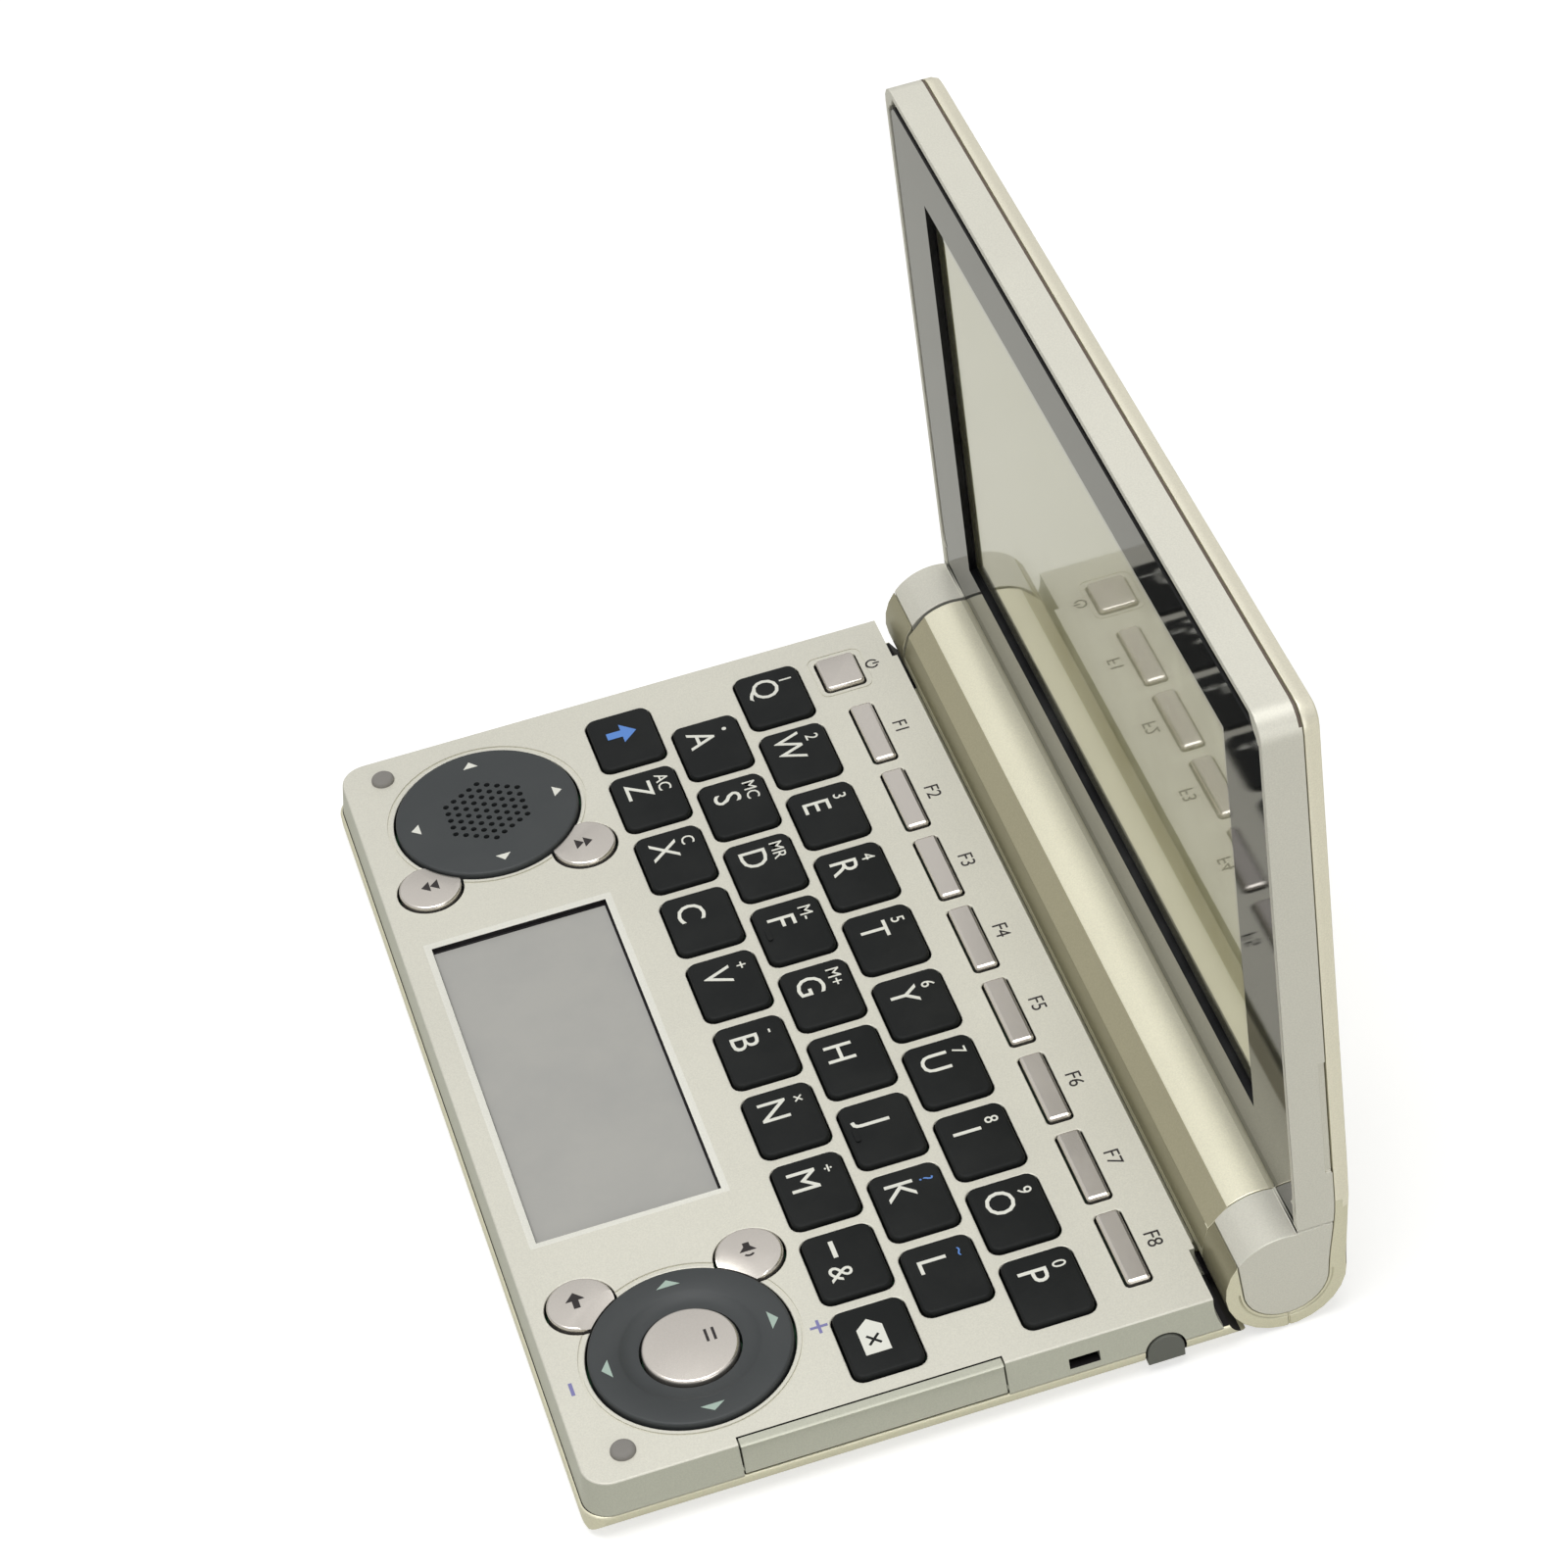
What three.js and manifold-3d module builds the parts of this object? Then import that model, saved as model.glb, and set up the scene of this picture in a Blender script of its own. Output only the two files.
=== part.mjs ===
// A pocket electronic dictionary, opened to a right angle.
// Millimetres. X runs along the hinge, Y from the front edge to the back, Z up from the table.
// The origin lies on the table, under the middle of the opened dictionary.
import * as THREE from "three";
import { mergeVertices } from "three/addons/utils/BufferGeometryUtils.js";
import Module from "manifold-3d";

const wasm = await Module();
wasm.setup();

// Outer body
const bodyWidth = 148;
const frontReach = 52;
const hingeReach = 42.4;
const hingeHeight = 8.6;
const topHeight = 9.6;
const seamHeight = 4.2;
const footHeight = 0.9;
const footRadius = 4;
const footInset = 10;
const footSink = 0.4;
const cornerRadius = 4.5;
const topEdge = 0.7;
const bottomEdge = 3.2;
const wall = 1.4;
const topPlate = 1.5;
const floorPlate = 1.2;
const overrun = 2;

// Hinge barrel and knuckles
const barrelRadius = 8.25;
const barrelGap = 1.2;
const knuckleWidth = 9.4;
const knuckleGap = 0.6;
const knuckleClearance = 1;
const coreRadius = 5.8;
const coverSeam = 0.1;
const coverSeamAngle = 41;
const coreRise = 5;
const shaftRadius = 2;
const shaftLength = 15;
const shaftFit = 0.3;
const neckSideGap = 4;
const neckReach = 3.4;
const neckHeight = 3.9;
const neckFit = 0.3;
const notchInset = 0.4;
const notchDepth = 0.6;
const rearLip = 3.75;

// Lid
const lidGap = 0.9;
const lidThickness = 7.7;
const lidSeamDepth = 5.23;
const lidFrontInset = 0.1;
const lidSideInset = 0.7;
const lidCorner = 3.5;
const lidWall = 1.3;
const lidFace = 1.8;
const lidBackEdge = 1.4;
const lidTailLift = 5;
const tailRise = 20;
const tailShares = [0.25, 0.6];
const lidJointHeight = 12;
const lidBarrelGap = 0.5;
const windowRim = 1.35;
const windowThickness = 0.8;
const windowSink = 0.2;
const windowFit = 0.3;
const windowCorner = 2.5;
const displayThickness = 3;
const displayGap = 0.2;
const displaySide = 12.8;
const displayHeight = 69.9;
const displayRise = 15.6;
const displayCentreShare = 0.4986;
const displayFit = 0.3;
const grooveLength = 19.5;
const grooveWidth = 0.9;
const grooveDepth = 0.4;
const grooveRise = 17.6;

// Letter keys
const keysPerRow = 10;
const keyMarginLeft = 4.7;
const keyMarginRight = 3.7;
const keyWebX = 2.06;
const keyWebY = 1.93;
const keyboardFront = 37;
const rowPitchShare = 0.2383;
const firstRowShare = 0.5955;
const homeRowShare = 0.497;
const keyRise = 0.6;
const keyCorner = 1.4;
const keyEdge = 0.3;
const keyFit = 0.3;
const keyTravel = 0.5;
const flangeGap = 0.3;
const flangeThickness = 0.5;
const flangeWidth = 0.5;
const stemWidth = 4;
const stemHeight = 0.35;
const contactGap = 0.1;

// Power and function keys
const powerWidth = 6.9;
const powerDepth = 5.8;
const powerPlaceShares = [0.0686, 0.8186];
const functionWeb = 2.74;
const functionDepth = 3.2;
const functionKeys = 8;
const functionRowShare = 0.8299;
const functionFirstShare = 0.1696;
const functionPitchShare = 0.10568;
const smallCorner = 0.6;
const slimStem = 2;

// Round pads and buttons
const padRadius = 13.4;
const padFit = 0.35;
const padRise = 0.6;
const padSide = 18.69;
const padFront = 19.8;
const padFlangeGap = 0.45;
const padDishInner = 6.8;
const padDishOuter = 9.5;
const padDish = 0.4;
const enterRadius = 6.4;
const enterFlange = 1.2;
const enterRoof = 1.05;
const enterFit = 0.35;
const roundRadius = 4.5;
const roundSide = 12.4;
const roundLift = 11.5;
const grilleRings = 4;
const grillePitch = 1.45;
const grilleHole = 0.42;

// Small display
const touchDepth = 25.6;
const touchSide = 8.1;
const touchFront = 18.39;
const touchCentreShare = 0.4959;
const touchBevel = 1.5;
const touchSink = 1;
const touchLap = 1.3;
const touchFit = 0.3;

// Lid bumpers
const bumperRadius = 1.85;
const bumperSide = 5.3;
const bumperFront = 7.15;
const bumperClear = 0.05;

// Side wall fittings
const portFront = 21.05;
const portStrapGap = 8.225;
const portStrip = 2;
const portFit = 0.2;
const portHingeIn = 0.7;
const portHingeUp = 0.9;
const portFoot = 0.35;
const portPin = 0.35;
const portPinLength = 1;
const portPinFit = 0.15;
const strapBack = 18.2;
const strapLength = 4.15;
const strapHeight = 1.65;
const strapRise = 1.1;
const stylusBack = 7.45;
const stylusHeadWidth = 5;
const stylusHeadHeight = 4.5;
const stylusHeadLength = 9;
const stylusLift = 0.7;
const stylusLength = 88;
const stylusRadius = 1.4;
const stylusTip = 0.35;
const stylusTipLength = 5;
const stylusFit = 0.3;
const saddleLength = 3;
const saddleWall = 1.2;
const saddleShares = [0.12, 0.45, 0.75];

// Board, cells and battery door
const boardThickness = 0.8;
const boardInset = 1.2;
const boardRear = 4;
const postWidth = 4;
const postShares = [0.09, 0.5, 0.91];
const postDepthShares = [0.07, 0.824];
const speakerRadius = 9;
const speakerDepth = 1.8;
const socketDepth = 12;
const socketHeight = 1.7;
const socketWall = 0.4;
const socketGap = 1.3;
const socketShares = [
  [0.08, 0.32],
  [0.42, 0.94],
];
const cellRadius = 5.25;
const cellButton = 1.9;
const cellButtonLength = 0.8;
const cellFit = 0.35;
const cellEndGap = 1.5;
const bayEndWall = 10.4;
const cellPress = 0.1;
const doorFit = 0.3;
const doorDrop = 3.2;

// Numbers of flat sides, each for one arc or circle, and of steps in a rounded edge
const cornerSides = 4;
const keyCornerSides = 2;
const padSides = 40;
const buttonSides = 24;
const barrelSides = 40;
const coreSides = 16;
const smallSides = 12;
const holeSides = 6;
const edgeSteps = 2;
const bottomSteps = 4;
const keyEdgeSteps = 1;

// Heights and depths worked out from the sizes above
const halfWidth = bodyWidth / 2;
const rearReach = hingeReach - barrelRadius - barrelGap;
const topDepth = frontReach + rearReach;
const floorTop = footHeight + floorPlate;
const plateUnder = topHeight - topPlate;
const flangeTop = plateUnder - flangeGap;
const flangeBottom = flangeTop - flangeThickness;
const boardTop = flangeBottom - stemHeight - keyTravel - contactGap;
const boardUnder = boardTop - boardThickness;
const barrelHalf = halfWidth - lidSideInset - knuckleWidth;
const lidHalf = halfWidth - lidSideInset;
const lidFront = topHeight + lidGap - hingeHeight;
const lidSeam = lidFront + lidSeamDepth;
const lidBack = lidFront + lidThickness;
const lidTop = hingeReach + frontReach - lidFrontInset;

// Finishes
const silver = new THREE.MeshStandardMaterial({ color: 0xdad7cc, roughness: 0.42, metalness: 0.35 });
const gold = new THREE.MeshStandardMaterial({ color: 0xc6c0a0, roughness: 0.38, metalness: 0.5 });
const blackKey = new THREE.MeshStandardMaterial({ color: 0x2e3031, roughness: 0.45, metalness: 0 });
const greyPad = new THREE.MeshStandardMaterial({ color: 0x515453, roughness: 0.5, metalness: 0 });
const plated = new THREE.MeshStandardMaterial({ color: 0xe0d8d5, roughness: 0.2, metalness: 0.8 });
const greyGlass = new THREE.MeshStandardMaterial({ color: 0x93918a, roughness: 0.1, metalness: 0 });
const displayGrey = new THREE.MeshStandardMaterial({ color: 0xcbcbbb, roughness: 0.5, metalness: 0 });
const touchGrey = new THREE.MeshStandardMaterial({ color: 0xabaaa4, roughness: 0.35, metalness: 0 });
const boardGreen = new THREE.MeshStandardMaterial({ color: 0x2f6b45, roughness: 0.6, metalness: 0 });
const steel = new THREE.MeshStandardMaterial({ color: 0xb5b5b0, roughness: 0.3, metalness: 1 });
const cellSleeve = new THREE.MeshStandardMaterial({ color: 0x8d8f94, roughness: 0.4, metalness: 0.6 });
const stylusGrey = new THREE.MeshStandardMaterial({ color: 0x6c6e68, roughness: 0.5, metalness: 0 });

// Solids joined and cut

function solidOf(geometry) {
  const bare = geometry.index ? geometry.toNonIndexed() : geometry.clone();
  bare.deleteAttribute("normal");
  bare.deleteAttribute("uv");
  const merged = mergeVertices(bare);
  const mesh = new wasm.Mesh({
    numProp: 3,
    vertProperties: new Float32Array(merged.attributes.position.array),
    triVerts: new Uint32Array(merged.index.array),
  });
  return new wasm.Manifold(mesh);
}

function geometryOf(solid) {
  const mesh = solid.getMesh();
  const geometry = new THREE.BufferGeometry();
  geometry.setAttribute("position", new THREE.BufferAttribute(mesh.vertProperties, 3));
  geometry.setIndex(new THREE.BufferAttribute(mesh.triVerts, 1));
  geometry.computeVertexNormals();
  return geometry;
}

function join(solids) {
  return solids.reduce((whole, next) => whole.add(next));
}

function cut(solid, tools) {
  return tools.reduce((rest, tool) => rest.subtract(tool), solid);
}

// Plain shapes

function box(x0, x1, y0, y1, z0, z1) {
  const geometry = new THREE.BoxGeometry(x1 - x0, y1 - y0, z1 - z0);
  geometry.translate((x0 + x1) / 2, (y0 + y1) / 2, (z0 + z1) / 2);
  return solidOf(geometry);
}

function roundedRect(x0, x1, y0, y1, radius) {
  const shape = new THREE.Shape();
  shape.absarc(x1 - radius, y0 + radius, radius, -Math.PI / 2, 0);
  shape.absarc(x1 - radius, y1 - radius, radius, 0, Math.PI / 2);
  shape.absarc(x0 + radius, y1 - radius, radius, Math.PI / 2, Math.PI);
  shape.absarc(x0 + radius, y0 + radius, radius, Math.PI, -Math.PI / 2);
  shape.closePath();
  return shape;
}

function circle(x, y, radius) {
  const shape = new THREE.Shape();
  shape.absarc(x, y, radius, 0, 2 * Math.PI);
  return shape;
}

// An outline pushed through a length, with both ends drawn in by an edge where one is given.
// An arc gets twice its curve segments, so half of the wanted sides are asked for.
function pushed(shape, length, sides, edge, steps) {
  return new THREE.ExtrudeGeometry(shape, {
    depth: length - 2 * edge,
    curveSegments: sides / 2,
    bevelEnabled: edge > 0,
    bevelThickness: edge,
    bevelSize: edge,
    bevelOffset: -edge,
    bevelSegments: steps,
  });
}

// A flat outline drawn in X and Y, raised from z0 to z1
function raised(shape, z0, z1, sides, edge = 0, steps = edgeSteps) {
  const geometry = pushed(shape, z1 - z0, sides, edge, steps);
  geometry.translate(0, 0, z0 + edge);
  return solidOf(geometry);
}

// The same with its foot left square: only the upper end is drawn in
function crowned(shape, z0, z1, sides, edge, steps = edgeSteps) {
  const full = raised(shape, z0 - 2 * edge, z1, sides, edge, steps);
  const foot = box(-bodyWidth, bodyWidth, -bodyWidth, bodyWidth, z0 - bodyWidth, z0);
  return full.subtract(foot);
}

// A side profile drawn in Y and Z, run along X from x0 to x1
function along(shape, x0, x1, sides) {
  const geometry = pushed(shape, x1 - x0, sides, 0, 1);
  const axes = new THREE.Matrix4().makeBasis(
    new THREE.Vector3(0, 1, 0),
    new THREE.Vector3(0, 0, 1),
    new THREE.Vector3(1, 0, 0),
  );
  geometry.applyMatrix4(axes);
  geometry.translate(x0, 0, 0);
  return solidOf(geometry);
}

// An upright outline drawn in X and Z, run back from y0 to y1, with both ends drawn in by an edge
function upright(shape, y0, y1, sides, edge = 0) {
  const geometry = pushed(shape, y1 - y0, sides, edge, edgeSteps);
  geometry.rotateX(Math.PI / 2);
  geometry.translate(0, y1 - edge, 0);
  return solidOf(geometry);
}

function rod(y, z, radius, x0, x1, sides) {
  return along(circle(y, z, radius), x0, x1, sides);
}

// The scene graph: the base at the origin and the lid on the hinge line

const dictionary = new THREE.Group();
const lid = new THREE.Group();
lid.position.set(0, hingeReach, hingeHeight);
dictionary.add(lid);

function addPiece(name, geometry, material, group = dictionary) {
  const piece = new THREE.Mesh(geometry, material);
  piece.name = name;
  group.add(piece);
  return piece;
}

// Controls: every key, pad and button has a place, an outline and a hole in the top plate

const keyPitchX = (bodyWidth - keyMarginLeft - keyMarginRight) / keysPerRow;
const keyboardDepth = topDepth - keyboardFront;
const keyboardY = keyboardFront - frontReach;
const keyPitchY = keyboardDepth * rowPitchShare;
const firstKeyX = keyMarginLeft - halfWidth + keyPitchX / 2;
const firstRowY = keyboardY + keyboardDepth * firstRowShare;
const functionWidth = bodyWidth * functionPitchShare - functionWeb;

// A kind of key has the outline of its cap, which grows by a gap for its hole
function keyKind(width, depth, corner, stem, material) {
  const outline = (grow) =>
    roundedRect(-width / 2 - grow, width / 2 + grow, -depth / 2 - grow, depth / 2 + grow, corner + grow);
  return { size: [width, depth], outline, stem, material };
}

const letterKey = keyKind(keyPitchX - keyWebX, keyPitchY - keyWebY, keyCorner, stemWidth, blackKey);
const functionKey = keyKind(functionWidth, functionDepth, smallCorner, slimStem, plated);
const powerKey = keyKind(powerWidth, powerDepth, smallCorner, slimStem, plated);

function letterRow(names, row, offsetShare) {
  return names.map((name, i) => ({
    name: `key_${name}`,
    x: firstKeyX + (i + offsetShare) * keyPitchX,
    y: firstRowY - row * keyPitchY,
    kind: letterKey,
  }));
}

function functionRow() {
  return Array.from({ length: functionKeys }, (_, i) => ({
    name: `function_key_${i + 1}`,
    x: bodyWidth * (functionFirstShare + i * functionPitchShare) - halfWidth,
    y: keyboardY + keyboardDepth * functionRowShare,
    kind: functionKey,
  }));
}

const keys = [
  ...letterRow([..."qwertyuiop"], 0, 0),
  ...letterRow([..."asdfghjkl"], 1, homeRowShare),
  ...letterRow(["shift", ..."zxcvbnm", "symbol", "delete"], 2, 0),
  ...functionRow(),
  {
    name: "power_key",
    x: bodyWidth * powerPlaceShares[0] - halfWidth,
    y: keyboardY + keyboardDepth * powerPlaceShares[1],
    kind: powerKey,
  },
];

const padY = padFront - frontReach;
const padX = halfWidth - padSide;
const roundButtons = [
  { name: "page_back_button", side: -1, x: -padX + roundSide, y: padY - roundLift },
  { name: "page_forward_button", side: -1, x: -padX + roundSide, y: padY + roundLift },
  { name: "return_button", side: 1, x: padX - roundSide, y: padY - roundLift },
  { name: "voice_button", side: 1, x: padX - roundSide, y: padY + roundLift },
];

// A key: a cap that stands through the plate, a flange that holds it in and a stem over its contact
function keyGeometry(kind) {
  const top = topHeight + keyRise;
  const cap = crowned(kind.outline(0), flangeBottom, top, keyCornerSides, keyEdge, keyEdgeSteps);
  const [w, d] = kind.size.map((side) => side / 2 + flangeWidth);
  const flange = box(-w, w, -d, d, flangeBottom, flangeTop);
  const half = kind.stem / 2;
  const stem = box(-half, half, -half, half, flangeBottom - stemHeight, flangeTop);
  return geometryOf(join([cap, flange, stem]));
}

function addKeys() {
  const shared = new Map();
  for (const { name, x, y, kind } of keys) {
    if (!shared.has(kind)) shared.set(kind, keyGeometry(kind));
    addPiece(name, shared.get(kind), kind.material).position.set(x, y, 0);
  }
}

// Pads tilt, so their flanges hang a little lower than a key's
const padFlangeTop = plateUnder - padFlangeGap;
const padBottom = padFlangeTop - flangeThickness;
const padTop = topHeight + padRise;
const enterHole = enterRadius + enterFit;
const enterRecess = enterRadius + enterFlange + enterFit;
const enterRoofZ = padBottom + enterRoof;

function padDisc() {
  const face = crowned(circle(0, 0, padRadius), padBottom, padTop, padSides, keyEdge, keyEdgeSteps);
  const flange = raised(circle(0, 0, padRadius + flangeWidth + padFit), padBottom, padFlangeTop, padSides);
  return face.add(flange);
}

function grilleHoles() {
  const holes = [];
  for (let row = -grilleRings; row <= grilleRings; row++) {
    const count = 2 * grilleRings + 1 - Math.abs(row);
    for (let i = 0; i < count; i++) {
      const x = (i - (count - 1) / 2) * grillePitch;
      const y = row * grillePitch * Math.sin(Math.PI / 3);
      holes.push(raised(circle(x, y, grilleHole), padBottom - overrun, padTop + overrun, holeSides));
    }
  }
  return holes;
}

function leftPad() {
  return cut(padDisc(), grilleHoles());
}

// The cursor ring has a shallow dish round its hole, and a recess below for the enter button's flange
function directionPad() {
  const hole = raised(circle(0, 0, enterHole), padBottom - overrun, padTop + overrun, buttonSides);
  const recess = raised(circle(0, 0, enterRecess), padBottom - overrun, enterRoofZ, buttonSides);
  const dishOuter = raised(circle(0, 0, padDishOuter), padTop - padDish, padTop + overrun, buttonSides);
  const dishInner = raised(circle(0, 0, padDishInner), padTop - overrun, padTop + overrun, buttonSides);
  return cut(padDisc(), [dishOuter.subtract(dishInner), hole, recess]);
}

function enterButton() {
  const flangeHigh = enterRoofZ - flangeGap;
  const flangeLow = flangeHigh - flangeThickness;
  const cap = crowned(circle(0, 0, enterRadius), flangeLow, padTop, buttonSides, keyEdge, keyEdgeSteps);
  const flange = raised(circle(0, 0, enterRadius + enterFlange), flangeLow, flangeHigh, buttonSides);
  return cap.add(flange);
}

function padHole(x, grow) {
  return raised(circle(x, padY, padRadius + grow), floorTop, topHeight + overrun, padSides);
}

// A round button is bitten by the pad beside it, and when pressed keeps clear of the pad's flange underneath
function roundButton({ x, y, side }) {
  const capTop = topHeight + keyRise;
  const cap = crowned(circle(x, y, roundRadius), flangeBottom, capTop, buttonSides, keyEdge, keyEdgeSteps);
  const flange = raised(circle(x, y, roundRadius + flangeWidth), flangeBottom, flangeTop, buttonSides);
  const low = raised(
    circle(side * padX, padY, padRadius + flangeWidth + 2 * padFit),
    floorTop,
    padFlangeTop + keyTravel + padFlangeGap,
    padSides,
  );
  return cut(cap.add(flange), [padHole(side * padX, padFit), low]);
}

function addPads() {
  addPiece("left_pad", geometryOf(leftPad()), greyPad).position.set(-padX, padY, 0);
  addPiece("direction_pad", geometryOf(directionPad()), greyPad).position.set(padX, padY, 0);
  addPiece("enter_button", geometryOf(enterButton()), plated).position.set(padX, padY, 0);
  for (const button of roundButtons) addPiece(button.name, geometryOf(roundButton(button)), plated);
}

// Small display, seen through a bevelled window in the top plate

const touchX = bodyWidth * touchCentreShare - halfWidth;
const touchY = touchFront - frontReach;
const touchWidth = 2 * (padX - roundSide - roundRadius - touchSide);
const touchFace = topHeight - touchSink;

function touchBox(grow, z0, z1) {
  return box(
    touchX - touchWidth / 2 - grow,
    touchX + touchWidth / 2 + grow,
    touchY - touchDepth / 2 - grow,
    touchY + touchDepth / 2 + grow,
    z0,
    z1,
  );
}

// The window's sides slope from the glass up to a wider outline in the top face
function sloped(centre, half) {
  const high = topHeight + overrun;
  const spread = half + (touchBevel * (high - touchFace)) / touchSink;
  return new THREE.Shape([
    new THREE.Vector2(centre - half, touchFace),
    new THREE.Vector2(centre + half, touchFace),
    new THREE.Vector2(centre + spread, high),
    new THREE.Vector2(centre - spread, high),
  ]);
}

function touchWindow() {
  const acrossDepth = along(sloped(touchY, touchDepth / 2), -halfWidth, halfWidth, 1);
  const acrossWidth = upright(sloped(touchX, touchWidth / 2), -frontReach, hingeReach, 1);
  return acrossDepth.intersect(acrossWidth);
}

function subDisplay() {
  return touchBox(touchLap, boardTop, touchFace);
}

// Stylus: a thin rod with a wide arched head that closes the hole in the right wall

const stylusY = rearReach - stylusBack;
const stylusFoot = footHeight + stylusLift;
const stylusZ = stylusFoot + stylusHeadHeight / 2;

function archShape(grow) {
  const radius = stylusHeadWidth / 2 + grow;
  const spring = stylusFoot + stylusHeadHeight - stylusHeadWidth / 2;
  const shape = new THREE.Shape();
  shape.moveTo(stylusY - radius, stylusFoot - grow);
  shape.lineTo(stylusY + radius, stylusFoot - grow);
  shape.absarc(stylusY, spring, radius, 0, Math.PI);
  shape.closePath();
  return shape;
}

function stylus() {
  const end = halfWidth - stylusLength;
  const head = along(archShape(0), halfWidth - stylusHeadLength, halfWidth, smallSides);
  const profile = [
    new THREE.Vector2(0, 0),
    new THREE.Vector2(stylusTip, 0),
    new THREE.Vector2(stylusRadius, stylusTipLength),
    new THREE.Vector2(stylusRadius, stylusLength - stylusHeadLength / 2),
    new THREE.Vector2(0, stylusLength - stylusHeadLength / 2),
  ];
  const shank = new THREE.LatheGeometry(profile, smallSides);
  shank.rotateZ(-Math.PI / 2);
  shank.translate(end, stylusY, stylusZ);
  return solidOf(shank).add(head);
}

function stylusHole() {
  const inner = halfWidth - stylusHeadLength - stylusFit;
  return along(archShape(stylusFit), inner, halfWidth + overrun, smallSides);
}

// Upper case of the base

function baseOutline(inset, rear) {
  return roundedRect(
    inset - halfWidth,
    halfWidth - inset,
    inset - frontReach,
    rear - inset,
    Math.max(cornerRadius - inset, topEdge),
  );
}

// The part of a solid in front of a plane across the base, which leaves its rear corners square
function upTo(rear, solid) {
  return solid.intersect(box(-bodyWidth, bodyWidth, -bodyWidth, rear, -bodyWidth, bodyWidth));
}

function upperBody() {
  const long = baseOutline(0, rearReach + cornerRadius);
  return upTo(rearReach, crowned(long, seamHeight, topHeight, cornerSides, topEdge));
}

function upperCavity() {
  return raised(baseOutline(wall, rearReach), seamHeight - overrun, plateUnder, cornerSides);
}

function keyHoles() {
  return keys.map(({ x, y, kind }) => {
    const hole = raised(kind.outline(keyFit), plateUnder - overrun, topHeight + overrun, keyCornerSides);
    return hole.translate([x, y, 0]);
  });
}

function roundHoles() {
  return roundButtons.map(({ x, y }) =>
    raised(circle(x, y, roundRadius + padFit), plateUnder - overrun, topHeight + overrun, buttonSides),
  );
}

// Room for the knuckles, which turn with the lid behind the two ends of the base
function knuckleRooms() {
  const rooms = [];
  const inner = barrelHalf + notchInset;
  for (const side of [-1, 1]) {
    const [x0, x1] = side < 0 ? [-halfWidth - overrun, -inner] : [inner, halfWidth + overrun];
    rooms.push(rod(hingeReach, hingeHeight, barrelRadius + knuckleClearance, x0, x1, barrelSides));
    rooms.push(box(x0, x1, rearReach - notchDepth, hingeReach, seamHeight, topHeight + overrun));
  }
  return rooms;
}

const neckHalf = barrelHalf - neckSideGap;
const neckTop = floorTop + neckHeight;

function neckRoom(z0) {
  return box(
    -neckHalf - neckFit,
    neckHalf + neckFit,
    rearReach - neckReach - neckFit,
    hingeReach,
    z0,
    neckTop + neckFit,
  );
}

const portY0 = portFront - frontReach;
const strapY = rearReach - strapBack - strapLength / 2;
const portY1 = strapY - portStrapGap;
const portLength = portY1 - portY0;
const portPivotX = halfWidth - portHingeIn;
const portPivotZ = seamHeight + portHingeUp;

function portRoom() {
  const x0 = halfWidth - portStrip;
  return box(x0, halfWidth + overrun, portY0, portY1, seamHeight - overrun, topHeight + overrun);
}

function portPins(radius, reach) {
  const whole = upright(circle(portPivotX, portPivotZ, radius), portY0 - reach, portY1 + reach, smallSides);
  const middle = box(
    portPivotX - radius - overrun,
    portPivotX + radius + overrun,
    portY0 + portPinLength,
    portY1 - portPinLength,
    portPivotZ - radius - overrun,
    portPivotZ + radius + overrun,
  );
  return whole.subtract(middle);
}

function strapSlot() {
  const x0 = halfWidth - wall - overrun;
  const z0 = seamHeight + strapRise;
  return box(x0, halfWidth + overrun, strapY, strapY + strapLength, z0, z0 + strapHeight);
}

function bumpers() {
  return [-1, 1].map((side) =>
    raised(
      circle(side * (halfWidth - bumperSide), bumperFront - frontReach, bumperRadius),
      plateUnder,
      topHeight + lidGap - bumperClear,
      smallSides,
    ),
  );
}

function topCase() {
  const shell = cut(upperBody(), [
    upperCavity(),
    touchBox(touchLap + touchFit, plateUnder - overrun, touchFace),
    touchWindow(),
    ...keyHoles(),
    ...roundHoles(),
    padHole(-padX, padFit),
    padHole(padX, padFit),
    ...knuckleRooms(),
    neckRoom(seamHeight - overrun),
    portRoom(),
    portPins(portPin + portPinFit, portPinLength + portPinFit),
    strapSlot(),
    stylusHole(),
  ]);
  return join([shell, ...bumpers()]);
}

// Cover of the card and cable sockets: it wraps over the edge of the top face and swings out on two pins
function portCover() {
  const block = box(
    halfWidth - portStrip + portFit,
    halfWidth,
    portY0 + portFit,
    portY1 - portFit,
    seamHeight + portFoot,
    topHeight,
  );
  const lip = upperBody().intersect(block).subtract(upperCavity());
  return lip.add(portPins(portPin, portPinLength));
}

// Lower case: a tray with a soft bottom edge, four feet, board posts and saddles for the stylus

function lowerBody() {
  const rear = rearReach + rearLip;
  const long = baseOutline(0, rear + cornerRadius);
  const tall = raised(long, footHeight, 2 * seamHeight, cornerSides, bottomEdge, bottomSteps);
  const below = box(
    -halfWidth - overrun,
    halfWidth + overrun,
    -frontReach - overrun,
    hingeReach,
    footHeight - overrun,
    seamHeight,
  );
  return upTo(rear, tall.intersect(below));
}

function feet() {
  const y0 = footInset - frontReach;
  const y1 = rearReach - footInset;
  return [-1, 1].flatMap((side) =>
    [y0, y1].map((y) =>
      raised(circle(side * (halfWidth - footInset), y, footRadius), 0, footHeight + footSink, buttonSides),
    ),
  );
}

function boardPosts() {
  const ys = postDepthShares.map((share) => topDepth * share - frontReach);
  const xs = postShares.map((share) => bodyWidth * share - halfWidth);
  const half = postWidth / 2;
  return xs.flatMap((x) =>
    ys.map((y) => box(x - half, x + half, y - half, y + half, floorTop - footSink, boardUnder)),
  );
}

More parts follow.
